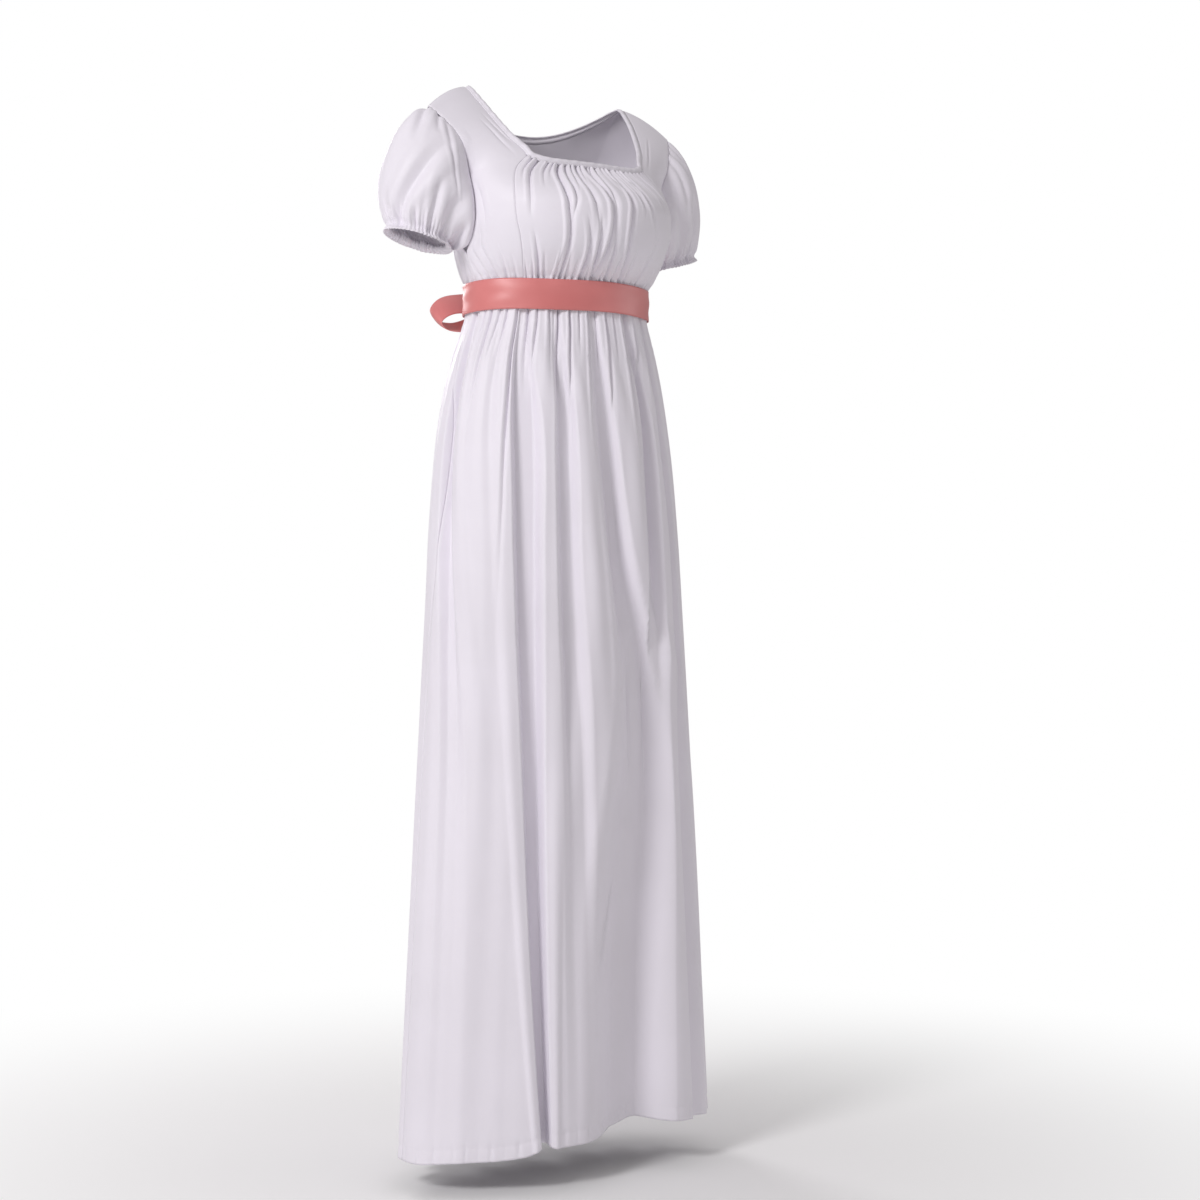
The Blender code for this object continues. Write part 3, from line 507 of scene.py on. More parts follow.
def round_body(rings, height, bearing):
    """Points on the rings of a table, at heights and bearings of one shape."""
    turn = np.radians(bearing)
    depth = np.where(np.cos(turn) > 0, read(rings, "front", height), read(rings, "back", height))
    x = read(rings, "half_width", height) * np.sin(turn)
    return np.stack([x, -depth * np.cos(turn), height + 0 * turn], axis=-1)


def dip(place):
    """A smooth hollow of depth 1 at place 0, gone by -1 and 1."""
    return np.cos(np.clip(place, -1, 1) * np.pi / 2) ** 2


def crease(place):
    """A hollow of depth 1 at place 0 with a fairly sharp bottom, gone by -1 and 1."""
    near = 1 - np.clip(np.abs(place), 0, 1)
    return 0.45 * near**2 + 0.55 * dip(place)


def lapped(place):
    """A hollow of depth 1 under a fold that laps over it from below place 0, gone by -0.35 and 1."""
    near = 1 - np.clip(place, 0, 1)
    gentle = 0.6 * near**2 + 0.4 * dip(place)
    steep = 1 - np.clip(-place / 0.35, 0, 1) ** 0.8
    return np.where(place > 0, gentle, steep) - 0.30 * dip((place + 0.80) / 0.50)


def turned(angles):
    """Angles in degrees, brought within half a turn of 0."""
    return (angles + 180) % 360 - 180


def ease(part):
    part = np.clip(part, 0, 1)
    return part * part * (3 - 2 * part)


def lengths(points):
    """The distance travelled at each point of a line."""
    steps = np.linalg.norm(np.diff(points, axis=0), axis=1)
    return np.concatenate([[0.0], np.cumsum(steps)])


def along(points, wanted, values=None):
    """A line's points, or the values held at them, at the wanted distances from its start."""
    travelled = lengths(points)
    values = points if values is None else values
    return np.stack([np.interp(wanted, travelled, values[:, axis]) for axis in range(3)], axis=1)


def drawn_in(points, start_gap, end_gap):
    """The same line with its two ends drawn in by the gaps, and its points spread as before."""
    travelled = lengths(points)
    return along(points, start_gap + travelled * (1 - (start_gap + end_gap) / travelled[-1]))


def trimmed(grid, bottom=HALF_GAP, top=HALF_GAP):
    """A grid drawn in from its edges, along its own lines, by half of a seam's gap at its two sides."""
    grid = np.array([drawn_in(row, HALF_GAP, HALF_GAP) for row in grid])
    lines = [drawn_in(line, bottom, top) for line in grid.swapaxes(0, 1)]
    return np.array(lines).swapaxes(0, 1)


def unit(vectors):
    return vectors / np.maximum(np.linalg.norm(vectors, axis=-1, keepdims=True), 1e-9)


def normals_of(grid):
    """Unit vectors square to a grid, outwards where its rows run by rising bearing and its columns climb."""
    return unit(np.cross(np.gradient(grid, axis=1), np.gradient(grid, axis=0)))


def mirrored(grid):
    """The grid of the opposite side, with its rows turned so that they still run by rising bearing."""
    return (grid * (-1, 1, 1))[:, ::-1]


def row_places(rows):
    """The mean distance travelled at each row of a grid."""
    steps = np.linalg.norm(np.diff(rows, axis=0), axis=2).mean(axis=1)
    return np.concatenate([[0.0], np.cumsum(steps)])


def through(rows, stops, counts):
    """A grid over the smooth surface through the given rows: from each stop, a row's number, to the next, it
    has as many evenly spaced rows as the count says."""
    rows = np.asarray(rows, float)
    travelled = row_places(rows)
    places = [np.linspace(travelled[a], travelled[b], n, endpoint=False)
              for a, b, n in zip(stops, stops[1:], counts)]
    places.append([travelled[stops[-1]]])
    return smooth(np.concatenate(places), travelled, rows)


def seam_sunk(grid, start=True, end=True):
    """A panel whose side edges turn in a little, as they do at a seam."""
    depth = np.zeros(grid.shape[:2])
    for row in range(len(grid)):
        travelled = lengths(grid[row])
        if start:
            depth[row] += ease(1 - travelled / SEAM_HALF_WIDTH)
        if end:
            depth[row] += ease(1 - (travelled[-1] - travelled) / SEAM_HALF_WIDTH)
    return grid - normals_of(grid) * (depth * SEAM_SINKS)[..., None]


def creased(grid, creases, first, last, side=1):
    """A panel with its creases pressed in. Its columns are numbered evenly from first to last, and the folds
    lap towards the last one where side is 1 and towards the first one where it is -1."""
    across, up = np.meshgrid(np.linspace(first, last, grid.shape[1]), np.linspace(0, 1, grid.shape[0]))
    depth = np.zeros_like(across)
    for line in creases:
        stretch = (up - line.bottom) / (line.top - line.bottom)
        middle = smooth(stretch, (0, 0.5, 1), (line.low, line.middle, line.high))
        deep = smooth(stretch, (0, 0.5, 1), line.depths)
        reach = ease(stretch / CREASE_FADES + 1) * ease((1 - stretch) / CREASE_FADES + 1)
        place = (across - middle) / line.half_width
        depth += CREASE_DEPTH * deep * reach * lapped(place * side)
    return grid - normals_of(grid) * depth[..., None]


def yoke_row(row):
    """The points of a yoke row, from its neck end to its armhole end."""
    across = np.linspace(0, 1, SIDE_COLUMNS)[:, None]
    straight = (1 - across) * np.array(row.neck) + across * np.array(row.armhole)
    return straight + 4 * across * (1 - across) * np.array(row.crown)


def side_front_grid():
    """The wearer's left side front, from the princess seam and neck out to the side seam and armhole."""
    rows = []
    inner_heights = np.linspace(WAIST_SEAM, NECK_CORNER, RING_ROWS)
    outer_heights = np.linspace(WAIST_SEAM, FRONT_YOKE_START, RING_ROWS)
    for inner, outer in zip(inner_heights, outer_heights):
        height = np.linspace(inner, outer, SIDE_COLUMNS)
        start = read(BODICE_RINGS, "princess", inner)
        end = read(BODICE_RINGS, "armhole_front", outer)
        rows.append(round_body(BODICE_RINGS, height, np.linspace(start, end, SIDE_COLUMNS)))
    rows += [yoke_row(row) for row in FRONT_YOKE + (SHOULDER, BACK_YOKE[-1])]
    return through(rows, (0, RING_ROWS - 1, len(rows) - 2), (BODICE_ROWS, YOKE_ROWS))


def centre_front_grid():
    """The front panel between the princess seams, before it is gathered."""
    across, up = np.meshgrid(np.linspace(-1, 1, FRONT_COLUMNS), np.linspace(0, 1, BODICE_ROWS + TOP_ROWS))
    top = NECK_CORNER - NECK_FRONT_DIP * (1 - across**NECK_CORNER_POWER)
    height = WAIST_SEAM + up * (top - WAIST_SEAM)
    edge_height = WAIST_SEAM + up * (NECK_CORNER - WAIST_SEAM)
    bearing = across * read(BODICE_RINGS, "princess", edge_height)
    return round_body(BODICE_RINGS, height, bearing)


def back_grid():
    """The back in one piece, from the wearer's left side seam and armhole round to the right ones, up to the
    shoulder seams and the scooped back neck."""
    fall = np.linspace(0, 1, SCOOP_COLUMNS)[1:]
    halves = []
    for height in np.linspace(WAIST_SEAM, BACK_YOKE_START, RING_ROWS):
        arm = np.linspace(read(BODICE_RINGS, "armhole_back", height), BACK_NECK_BEARING, SIDE_COLUMNS)
        scoop = BACK_NECK_BEARING + (180 - BACK_NECK_BEARING) * fall
        bearing = np.concatenate([arm, scoop])
        halves.append(round_body(BODICE_RINGS, height + 0 * bearing, bearing))
    for row in BACK_YOKE + (SHOULDER,):
        side = (1 - fall)[:, None]
        scoop = np.array(row.centre) - (np.array(row.centre) - np.array(row.neck)) * side**SCOOP_POWER
        scoop[:, 0] = row.neck[0] * side[:, 0]
        halves.append(np.concatenate([yoke_row(row)[::-1], scoop]))
    beyond = 2 * halves[-1] - halves[-2]
    beyond[:SIDE_COLUMNS] = yoke_row(FRONT_YOKE[-1])[::-1]
    halves.append(beyond)
    last = len(halves) - 2
    half = through(halves, (0, RING_ROWS - 1, last), (BODICE_ROWS, YOKE_ROWS))
    return np.concatenate([half, mirrored(half)[:, 1:]], axis=1)


def neck_edge(front, side, back):
    """The line of the neck's cut edge all round, by rising bearing from the front's right-hand corner, with
    the way out of the cloth at each point."""
    neck_column = SIDE_COLUMNS - 1
    scoop = slice(neck_column, back.shape[1] - neck_column)
    other = mirrored(side)
    pairs = (
        (front[-1], normals_of(front)[-1]),
        (side[BODICE_ROWS:, 0], normals_of(side)[BODICE_ROWS:, 0]),
        (back[-1, scoop], normals_of(back)[-1, scoop]),
        (other[:BODICE_ROWS - 1:-1, -1], normals_of(other)[:BODICE_ROWS - 1:-1, -1]),
    )
    points = np.concatenate([points[:-1] for points, _ in pairs])
    ways = np.concatenate([ways[:-1] for _, ways in pairs])
    return points, ways


def closed_evenly(points, values, count):
    """A closed line's points and the values at them, spaced evenly all the way round."""
    ring = np.concatenate([points, points[:1]])
    held = np.concatenate([values, values[:1]])
    wanted = np.linspace(0, lengths(ring)[-1], count, endpoint=False)
    return along(ring, wanted), along(ring, wanted, held)


def rounded(line, times):
    """A closed line with each point moved towards the middle of its neighbours, this many times."""
    for _ in range(times):
        line = line / 2 + (np.roll(line, 1, axis=0) + np.roll(line, -1, axis=0)) / 4
    return line


def binding_grid(front, side, back):
    """The folded strip inside the neck's edge, crowned across its width and puckered a little."""
    points, ways = closed_evenly(*neck_edge(front, side, back), NECK_COLUMNS)
    points = rounded(points, EDGE_ROUNDINGS)
    ways = unit(rounded(ways, WAY_ROUNDINGS))
    run = np.roll(points, -1, axis=0) - np.roll(points, 1, axis=0)
    inwards = unit(np.cross(ways, run))
    place = np.arange(NECK_COLUMNS)[:, None]
    pucker = 0.22 * np.sin(0.9 * place) + 0.16 * np.sin(0.53 * place + 1)
    rows = [points + inwards * reach + ways * (crown + pucker * crown)
            for reach, crown in zip(BINDING_REACH, BINDING_CROWN)]
    return np.array(rows)


def armhole_ring(side, back):
    """The wearer's left armhole: from the shoulder down the front to the underarm and up the back."""
    front = side[::-1, -1]
    rear = back[:, 0]
    front = front[front[:, 2] >= UNDERARM]
    rear = rear[rear[:, 2] >= UNDERARM]
    half = SLEEVE_COLUMNS // 2
    down = along(front, np.linspace(0, lengths(front)[-1], half, endpoint=False))
    up = along(rear, np.linspace(0, lengths(rear)[-1], half, endpoint=False))
    ring = rounded(np.concatenate([down, up]), ARMHOLE_ROUNDINGS)
    return ring + unit(ring.mean(axis=0) - ring) * SLEEVE_INSIDE_ARMHOLE


def round_sides(name, turn):
    """A column of the sleeve's four sides, read smoothly at any turn."""
    shoulder, front, under, back = (np.array(getattr(side, name), float) for side in SLEEVE_SIDES)
    once = (shoulder - under) / 2 * np.cos(turn) + (front - back) / 2 * np.sin(turn)
    twice = (shoulder - front + under - back) / 4 * np.cos(2 * turn)
    return (shoulder + front + under + back) / 4 + once + twice


def sleeve_grid(side, back, folds):
    """The wearer's left sleeve, from the armhole out over its puff and down to the shirred cuff."""
    start = armhole_ring(side, back)
    turn = np.linspace(0, 2 * np.pi, SLEEVE_COLUMNS, endpoint=False)[:, None]
    outwards = np.concatenate([np.cos(turn), -np.sin(turn), 0 * turn], axis=1)
    lift = CUFF_LIFT[0] * np.cos(turn) + CUFF_LIFT[1] * np.sin(turn)
    end = np.array(CUFF_CENTRE) + outwards * CUFF_RADIUS + lift * np.array((0, 0, 1))
    leaving = start + round_sides("leave", turn)
    arriving = end + round_sides("rise", turn)
    rows = []
    for part in np.linspace(0, 1, SLEEVE_ROWS):
        rows.append((1 - part) ** 3 * start + 3 * part * (1 - part) ** 2 * leaving
                    + 3 * part**2 * (1 - part) * arriving + part**3 * end)
    ruffle_out, ruffle_down = CUFF_RUFFLE
    for part in np.linspace(0, 1, RUFFLE_ROWS + 1)[1:]:
        rows.append(rows[SLEEVE_ROWS - 1] + outwards * ruffle_out * part**1.5
                    - np.array((0, 0, ruffle_down)) * part)
    grid = np.array(rows)
    down = row_places(grid)
    to_edge = (down[-1] - down)[:, None]
    part = (down / down[-1])[:, None]
    around = np.degrees(turn).T
    depth = np.zeros((len(grid), SLEEVE_COLUMNS))
    for fold in folds:
        stretch = (part - fold.start) / (fold.end - fold.start)
        middle = smooth(stretch, (0, 0.5, 1), fold.turns)
        deep = smooth(stretch, (0, 0.5, 1), fold.depths)
        reach = ease(stretch / FOLD_FADES_IN + 1) * ease((1 - stretch) / FOLD_FADES_OUT + 1)
        place = turned(around - middle) / fold.half_width
        raised = dip((place - 1.45) / 0.95) + dip((place + 1.45) / 0.95)
        depth += deep * reach * (0.6 * dip(place) + 0.4 * crease(place) - 0.3 * raised)
    uneven = 1 + 0.35 * np.sin(np.radians(5 * around + 40)) + 0.2 * np.sin(np.radians(11 * around))
    phase = CUFF_GATHERS * np.radians(around) + 1.3 * np.sin(np.radians(4 * around + folds[0].turns[1]))
    shirring = ease(1.3 - to_edge / CUFF_GATHERS_REACH) * (0.6 + 0.4 * ease(to_edge / 4))
    depth += CUFF_GATHER_DEPTH * uneven * shirring * (0.5 + 0.5 * np.cos(phase))
    fading = ease(1 - (to_edge - 10) / CUFF_GATHERS_REACH) * ease(to_edge / 12)
    longer = (0.5 + 0.5 * np.cos(phase / 2 + 1.3)) * (1 + 0.5 * np.sin(np.radians(7 * around)))
    depth += CUFF_GATHERS_FADE * fading * longer
    depth += ELASTIC_PULLS_IN * dip((to_edge - ELASTIC_FROM_EDGE) / 6)
    return grid - closed_normals(grid) * depth[..., None]


def closed_normals(grid):
    """The outward unit vectors of a grid whose columns go all the way round. A sleeve's rows run down."""
    across = np.roll(grid, -1, axis=1) - np.roll(grid, 1, axis=1)
    return unit(np.cross(across, np.gradient(grid, axis=0)))


def wall_drop(place, walls):
    """How far down a trough's wall a place is: 0 at the fold's edge and 1 at the trough's floor."""
    wall = np.where(place < 0, walls[0], walls[1])
    return np.clip((1 - np.abs(place)) / wall, 0, 1)


def skirt_row(height, level, bearing):
    """Points of the skirt at one height, on the folds and gathers there."""
    depth = np.zeros_like(bearing)
    aside = np.zeros_like(bearing)
    for trough in FRONT_TROUGHS + BACK_TROUGHS:
        middle = smooth(height, FOLD_HEIGHTS, trough.bearings)
        half = smooth(height, FOLD_HEIGHTS, trough.half_widths)
        deep = smooth(height, FOLD_HEIGHTS, trough.depths)
        place = turned(bearing - middle) / half
        drop = wall_drop(place, trough.walls)
        lip = np.where(place < 0, trough.lips[0], trough.lips[1])
        rise = np.clip((np.abs(place) - 1) / (ROUNDS_TO - 1), 0, 1)
        crisp = np.minimum(2 * lip, 1)
        profile = crisp * (1 - (1 - drop) ** 2) + (1 - crisp) * ease(drop)
        depth += deep * (profile - FOLD_ROUNDS_OUT * np.sin(np.pi * rise) ** 2)
        lean = np.where(drop > 0, 1 - ease(drop), dip((np.abs(place) - 1) / LEAN_REACHES))
        aside -= np.sign(place) * lip * half * lean * min(deep / LEAN_FULL_DEPTH, 1)
    below = SASH_BOTTOM - height
    for gather in SKIRT_GATHERS:
        fade = ease(1 - below / gather.length) * ease(below / GATHERS_START + 1)
        half = gather.half_width * (0.8 + 0.5 * below / gather.length)
        middle = gather.bearing + gather.drift * below / gather.length
        depth += gather.depth * fade * lapped(turned(bearing - middle) / half)
    if height > SASH_BOTTOM:
        depth *= ease((WAIST_SEAM - height) / (WAIST_SEAM - SASH_BOTTOM))
    for dent in SKIRT_DENTS:
        part = np.clip((height - dent.low) / (dent.high - dent.low), 0, 1)
        middle = dent.low_bearing + (dent.high_bearing - dent.low_bearing) * part
        depth += dent.depth * np.sin(np.pi * part) * lapped((bearing - middle) / dent.half_width)
    above_hem = height - HEM
    depth += HEM_STITCH_DEPTH * dip((above_hem - HEM_TURNING) / HEM_STITCH_WIDTH)
    for pucker in HEM_PUCKERS:
        place = (bearing - pucker.bearing) / pucker.half_width
        depth += pucker.depth * crease(place) * dip((above_hem - 0.6 * HEM_TURNING) / HEM_PUCKER_HEIGHT)
    return round_body(SKIRT_RINGS, level, bearing + aside) - outwards_at(bearing) * depth[:, None]


def skirt_heights():
    """Heights of the skirt's rows, closest together at the hem and the waist."""
    parts = [np.linspace(low, high, count, endpoint=False)
             for low, high, count in zip(SKIRT_LEVELS, SKIRT_LEVELS[1:], SKIRT_ROWS)]
    return np.concatenate(parts + [[SKIRT_LEVELS[-1]]])


def skirt_grid(first_seam, last_seam):
    """A skirt panel between two seams, hem first."""
    rows = []
    for height in skirt_heights():
        first = smooth(height, SEAM_HEIGHTS, first_seam)
        last = smooth(height, SEAM_HEIGHTS, last_seam)
        bearing = np.linspace(first, last, SKIRT_SAMPLES)
        lift = smooth(bearing, HEM_BEARINGS, HEM_LIFTS)
        level = height + lift * ease((HEM_LIFTS_BELOW - height) / (HEM_LIFTS_BELOW - HEM))
        line = skirt_row(height, level, bearing)
        rows.append(along(line, np.linspace(0, lengths(line)[-1], SKIRT_COLUMNS)))
    return np.array(rows)


def sash_grid():
    """The ribbon round the waist seam, with soft drag lines along it."""
    bearing = np.linspace(-180, 180, SASH_COLUMNS, endpoint=False)
    waist = round_body(BODICE_RINGS, WAIST_SEAM + 0 * bearing, bearing)
    turn = np.radians(bearing)
    outwards = outwards_at(bearing)
    long_wave, short_wave = SASH_WAVES
    edges = []
    for up in np.linspace(0, 1, SASH_ROWS):
        wave = long_wave * np.sin(3 * turn + 1.5 + 5 * up) + short_wave * np.sin(7 * turn - 9 * up)
        line = SASH_LINE_DEPTH * np.sin(2 * np.pi * (2 * up + 0.25 * np.sin(2 * turn + 0.6)))
        ends = 0.5 + 0.5 * np.cos(turn + np.pi)
        edge = waist + outwards * (SASH_STANDS_OUT + wave + line * (0.4 + ends))[:, None]
        edge[:, 2] = SASH_BOTTOM + up * (SASH_TOP - SASH_BOTTOM) + 0.5 * np.sin(5 * turn + 0.8)
        edges.append(edge)
    return np.array(edges)


def loop_grid(shift):
    """The wearer's left bow loop: a ribbon that leaves the knot, turns over and comes back below itself."""
    table = np.array(LOOP, float)
    travelled = lengths(table[:, :3])
    place = np.linspace(0, 1, LOOP_COLUMNS)
    out, back, height, lean, width = smooth(place * travelled[-1], travelled, table).T
    out = out + shift * np.sin(np.pi * place)
    height = height + 0.5 * shift * np.sin(2 * np.pi * place)
    middle = np.stack([out, back, height], axis=1)
    lean = np.radians(lean)
    upright = np.stack([0 * lean, np.sin(lean), np.cos(lean)], axis=1)
    run = np.gradient(middle, axis=0)
    face = unit(np.cross(run, upright))
    from_knot = np.minimum(place, 1 - place)[:, None]
    rows = []
    for across in np.linspace(-1, 1, LOOP_ROWS):
        pleat = LOOP_PLEAT_DEPTH * np.cos(2.5 * np.pi * across) * ease(1 - from_knot / 0.22)
        curl = RIBBON_CURL * (1 - across**2) * width[:, None] + pleat
        rows.append(middle + upright * (across * width[:, None] / 2) + face * curl)
    return np.array(rows)


def tail_grid(shift):
    """The wearer's left sash tail, which hangs down the back of the skirt with soft turns."""
    rows = []
    for part in np.linspace(1, 0, TAIL_ROWS):
        height = TAIL_HEIGHTS[0] + (TAIL_HEIGHTS[1] - TAIL_HEIGHTS[0]) * part
        middle = TAIL_MIDDLES[0] + (TAIL_MIDDLES[1] - TAIL_MIDDLES[0]) * part
        middle += shift * np.sin(np.pi * part) * 3
        narrow, wide = TAIL_HALF_WIDTHS
        half = narrow + (wide - narrow) * ease(part / TAIL_WIDENS_OVER)
        across = np.linspace(1, -1, TAIL_COLUMNS)
        x = middle + half * across
        level = height + TAIL_SLANT * ease((part - 0.9) / 0.1) * (across + 1) / 2
        bearing = 180 - np.degrees(np.arcsin(x / read(SKIRT_RINGS, "half_width", level)))
        pleat = TAIL_PLEAT_DEPTH * np.cos(2.5 * np.pi * across) * ease(1 - part / 0.3)
        wave = TAIL_WAVE_DEPTH * np.sin(9 * part + 1.2 * across + shift) * ease(part / 0.2)
        crown = TAIL_CROWN * (1 - across**2)
        point = round_body(SKIRT_RINGS, level, bearing)
        rows.append(point + outwards_at(bearing) * (TAIL_STANDS_OUT + pleat + wave + crown)[:, None])
    return np.array(rows)


def knot_grid():
    """The knot: a ribbon wrapped over the middle of the bow, pinched into pleats."""
    rows = []
    turn = np.linspace(0, 2 * np.pi, KNOT_COLUMNS, endpoint=False)
    for place in np.linspace(-1, 1, KNOT_ROWS):
        full = (1 - abs(place) ** 3.2) ** (1 / 2.4)
        pleats = 1 - 0.045 * np.cos(9 * place + 0.6) - 0.03 * np.cos(15 * place)
        y = np.sign(np.cos(turn)) * np.abs(np.cos(turn)) ** KNOT_SQUARENESS * KNOT_SIZE[1] / 2
        z = np.sign(np.sin(turn)) * np.abs(np.sin(turn)) ** KNOT_SQUARENESS * KNOT_SIZE[2] / 2
        scale = (0.22 + 0.78 * full) * pleats
        x = place * KNOT_SIZE[0] / 2 + 1.2 * np.sin(turn) * (1 - place**2)
        rows.append(np.stack([x + 0 * y, y * scale, z * scale * (0.94 + 0.06 * full)], axis=1))
    return np.array(rows) + np.array(KNOT_CENTRE)


def faces_of(rows, columns, closed):
    faces = []
    for row in range(rows - 1):
        for column in range(columns if closed else columns - 1):
            low = row * columns
            after = (column + 1) % columns
            faces.append((low + column, low + after, low + columns + after, low + columns + column))
    return faces


def add_object(name, data):
    made = bpy.data.objects.new(name, data)
    bpy.context.scene.collection.objects.link(made)
    return made


def add_mesh(name, node, grid, look, closed=False, caps=False):
    """A piece of a look, a material and a slot name that is not used, that rides on the root and stands for
    a CAD node.
    """
    material, slot = look
    rows, columns = grid.shape[:2]
    faces = faces_of(rows, columns, closed)
    if caps:
        faces.append(tuple(range(columns))[::-1])
        faces.append(tuple(range((rows - 1) * columns, rows * columns)))
    mesh = bpy.data.meshes.new(name)
    mesh.from_pydata((grid.reshape(-1, 3) * MM).tolist(), [], faces)
    mesh.materials.append(material)
    mesh.shade_smooth()
    piece = add_object(name, mesh)
    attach(piece, "root")
    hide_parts(node)
    return piece


def add_cloth(name, node, grid, look, thickness=CLOTH, closed=False):
    """A sheet of cloth lofted through a grid and thickened."""
    piece = add_mesh(name, node, grid, look, closed)
    thicken = piece.modifiers.new("thickness", "SOLIDIFY")
    thicken.thickness = thickness * MM
    thicken.offset = 0
    return piece


def set_inputs(tree, node, inputs):
    """Sets a node's inputs to values, or links them where the value is another node's output."""
    for key, value in inputs.items():
        if isinstance(value, bpy.types.NodeSocket):
            tree.links.new(value, node.inputs[key])
        else:
            node.inputs[key].default_value = value


def add_node(tree, kind, inputs, **settings):
    node = tree.nodes.new("ShaderNode" + kind)
    for name, value in settings.items():
        setattr(node, name, value)
    set_inputs(tree, node, inputs)
    return node


def satin(cloth):
    """Satin: a smooth cloth whose fine threads run along it, and whose colour and gloss vary a little."""
    material = bpy.data.materials.new(cloth.name)
    material.use_nodes = True
    tree = material.node_tree
    place = add_node(tree, "TexCoord", {}).outputs["Object"]
    patches = add_node(tree, "TexNoise", {"Vector": place, "Scale": PATCHES, "Detail": PATCH_DETAIL})
    spread = add_node(tree, "MapRange", {
        "Value": patches.outputs["Fac"],
        "From Min": PATCH_RANGE[0],
        "From Max": PATCH_RANGE[1],
    })
    colours = add_node(tree, "Mix", {
        "Factor": spread.outputs["Result"],
        "A": cloth.shade,
        "B": cloth.light,
    }, data_type="RGBA")
    stretch = add_node(tree, "Mapping", {"Vector": place, "Scale": cloth.threads})
    threads = add_node(tree, "TexNoise", {
        "Vector": stretch.outputs["Vector"],
        "Scale": 1,
        "Detail": THREAD_DETAIL,
        "Roughness": THREAD_UNEVENNESS,
    })
    gloss = add_node(tree, "MapRange", {
        "Value": threads.outputs["Fac"],
        "To Min": cloth.roughness + GLOSS_VARIES[0],
        "To Max": cloth.roughness + GLOSS_VARIES[1],
    })
    relief = add_node(tree, "Bump", {
        "Height": threads.outputs["Fac"],
        "Strength": cloth.thread_strength,
        "Distance": THREAD_RELIEF,
    })
    set_inputs(tree, tree.nodes["Principled BSDF"], {
        "Base Color": colours.outputs["Result"],
        "Roughness": gloss.outputs["Result"],
        "Normal": relief.outputs["Normal"],
        "Specular IOR Level": cloth.shine,
        "Sheen Weight": cloth.sheen,
        "Sheen Roughness": SHEEN_ROUGHNESS,
    })
    return material


def add_bodice(white):
    front = centre_front_grid()
    side = side_front_grid()
    back = back_grid()
    panel = seam_sunk(creased(trimmed(front, top=0), FRONT_CREASES, -1, 1))
    piece = add_cloth("centre_front_panel", "bodice_front_centre", panel, white)
    cut = trimmed(side)
    left = seam_sunk(creased(cut, FAR_SIDE_CREASES, 0, 1))
    right = mirrored(seam_sunk(creased(cut, NEAR_SIDE_CREASES, 0, 1)))
    for hand, panel in (("left", left), ("right", right)):
        piece = add_cloth(f"side_front_panel_{hand}", f"bodice_side_front_{hand}", panel, white)
    cut = trimmed(back)
    panel = seam_sunk(creased(cut, BACK_CREASES, 0, 1))
    piece = add_cloth("back_panel", "bodice_back", panel, white)
    strip = binding_grid(front, side, back)
    piece = add_cloth("neck_strip", "neck_binding", strip, white, NECK_STRIP, closed=True)
    left = sleeve_grid(side, back, FAR_SLEEVE_FOLDS)
    right = mirrored(sleeve_grid(side, back, NEAR_SLEEVE_FOLDS))
    for hand, sleeve in (("left", left), ("right", right)):
        piece = add_cloth(f"puff_sleeve_{hand}", f"sleeve_{hand}", sleeve, white, closed=True)


def add_skirt(white):
    front = skirt_grid(RIGHT_SEAM, LEFT_SEAM)
    back = skirt_grid(LEFT_SEAM, tuple(bearing + 360 for bearing in RIGHT_SEAM))
    for half, grid in (("front", front), ("back", back)):
        panel = trimmed(seam_sunk(grid), bottom=0, top=0)
        piece = add_cloth(f"skirt_{half}_panel", f"skirt_{half}", panel, white)


def add_sash(coral):
    band = add_cloth("ribbon_band", "sash_band", sash_grid(), coral, RIBBON, closed=True)
    knot = add_mesh("ribbon_knot", "sash_knot", knot_grid(), coral, closed=True, caps=True)
    for name, grid, length in (
        ("loop_left", loop_grid(1), 0.225),
        ("tail_left", tail_grid(1), 0.47),
        ("loop_right", mirrored(loop_grid(-2)), 0.225),
        ("tail_right", mirrored(tail_grid(-1)), 0.47),
    ):
        piece = add_cloth("ribbon_" + name, "sash_" + name, grid, coral, RIBBON)


def add_lamp(lamp, place):
    light = bpy.data.lights.new(lamp.name, "AREA")
    light.shape = "DISK"
    light.size = lamp.size
    light.energy = lamp.power
    light.color = lamp.colour
    holder = add_object(lamp.name, light)
    holder.location = place
    holder.rotation_euler = (Vector(LAMPS_AIM_AT) - place).to_track_quat("-Z", "Y").to_euler()


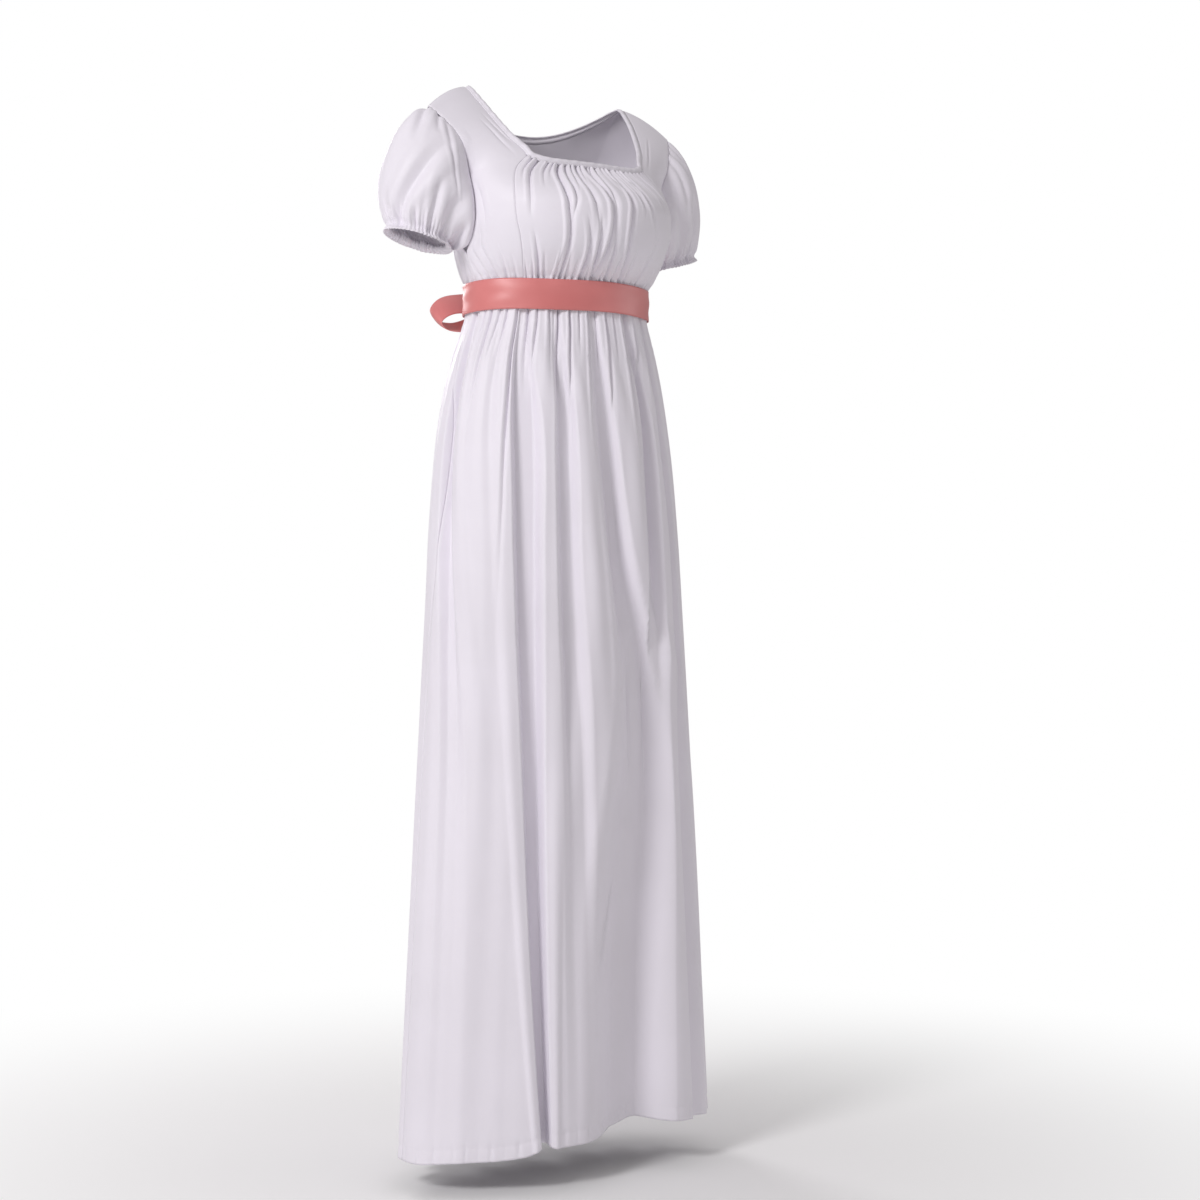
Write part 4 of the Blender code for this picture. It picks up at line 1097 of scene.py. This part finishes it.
def pale_floor():
    """A plain pale floor that brightens to white well away from the gown, so that it shows no horizon."""
    material = bpy.data.materials.new("pale_floor")
    material.use_nodes = True
    tree = material.node_tree
    shader = tree.nodes["Principled BSDF"]
    set_inputs(tree, shader, {
        "Base Color": FLOOR_COLOUR,
        "Roughness": FLOOR_ROUGHNESS,
        "Specular IOR Level": FLOOR_SHINE,
    })
    place = add_node(tree, "TexCoord", {}).outputs["Object"]
    level = add_node(tree, "VectorMath", {0: place, 1: (1, 1, 0)}, operation="MULTIPLY")
    distance = add_node(tree, "VectorMath", {0: level.outputs["Vector"]}, operation="LENGTH")
    far = add_node(tree, "MapRange", {
        "Value": distance.outputs["Value"],
        "From Min": FLOOR_WHITENS[0],
        "From Max": FLOOR_WHITENS[1],
    }, interpolation_type="SMOOTHSTEP")
    seen = add_node(tree, "LightPath", {}).outputs["Is Camera Ray"]
    share = add_node(tree, "Math", {0: far.outputs["Result"], 1: seen}, operation="MULTIPLY")
    white = add_node(tree, "Emission", {"Color": PURE_WHITE})
    mixed = add_node(tree, "MixShader", {
        "Fac": share.outputs["Value"],
        1: shader.outputs["BSDF"],
        2: white.outputs["Emission"],
    })
    set_inputs(tree, tree.nodes["Material Output"], {"Surface": mixed.outputs["Shader"]})
    return material


def add_stage():
    """The camera, a plain pale floor and soft studio light, brighter from the camera's left."""
    turn = np.radians(CAMERA_TURN)
    back = Vector((np.sin(turn), -np.cos(turn), 0))
    right = Vector((np.cos(turn), np.sin(turn), 0))
    up = Vector((0, 0, 1))
    data = bpy.data.cameras.new("camera")
    data.sensor_width = SENSOR
    data.lens = CAMERA_LENS
    camera = add_object("camera", data)
    rotation = Matrix((right, up, back)).transposed().to_4x4()
    where = back * CAMERA_DISTANCE + right * CAMERA_ASIDE + up * CAMERA_HEIGHT
    camera.matrix_world = Matrix.Translation(where) @ rotation
    bpy.context.scene.camera = camera

    floor_mesh = bpy.data.meshes.new("floor")
    level = CAD_BOX[0][2] - FLOOR_BELOW_HEM
    corners = [(x * FLOOR_RADIUS, y * FLOOR_RADIUS, level) for x, y in ((-1, -1), (1, -1), (1, 1), (-1, 1))]
    floor_mesh.from_pydata(corners, [], [(0, 1, 2, 3)])
    floor_mesh.materials.append(pale_floor())
    add_object("floor", floor_mesh)

    world = bpy.data.worlds.new("studio")
    world.use_nodes = True
    tree = world.node_tree
    around = tree.nodes["Background"]
    set_inputs(tree, around, {"Color": AMBIENT_COLOUR, "Strength": AMBIENT})
    white = add_node(tree, "Background", {"Color": PURE_WHITE})
    mixed = add_node(tree, "MixShader", {
        "Fac": add_node(tree, "LightPath", {}).outputs["Is Camera Ray"],
        1: around.outputs["Background"],
        2: white.outputs["Background"],
    })
    set_inputs(tree, tree.nodes["World Output"], {"Surface": mixed.outputs["Shader"]})
    bpy.context.scene.world = world
    for lamp in LAMPS:
        add_lamp(lamp, back * lamp.back + right * lamp.right + up * lamp.up)
    bpy.context.scene.view_settings.view_transform = "Standard"


def main():
    add_stage()
    white = (satin(WHITE), "white_satin")
    add_bodice(white)
    add_skirt(white)
    add_sash((satin(CORAL), "coral_ribbon"))


main()
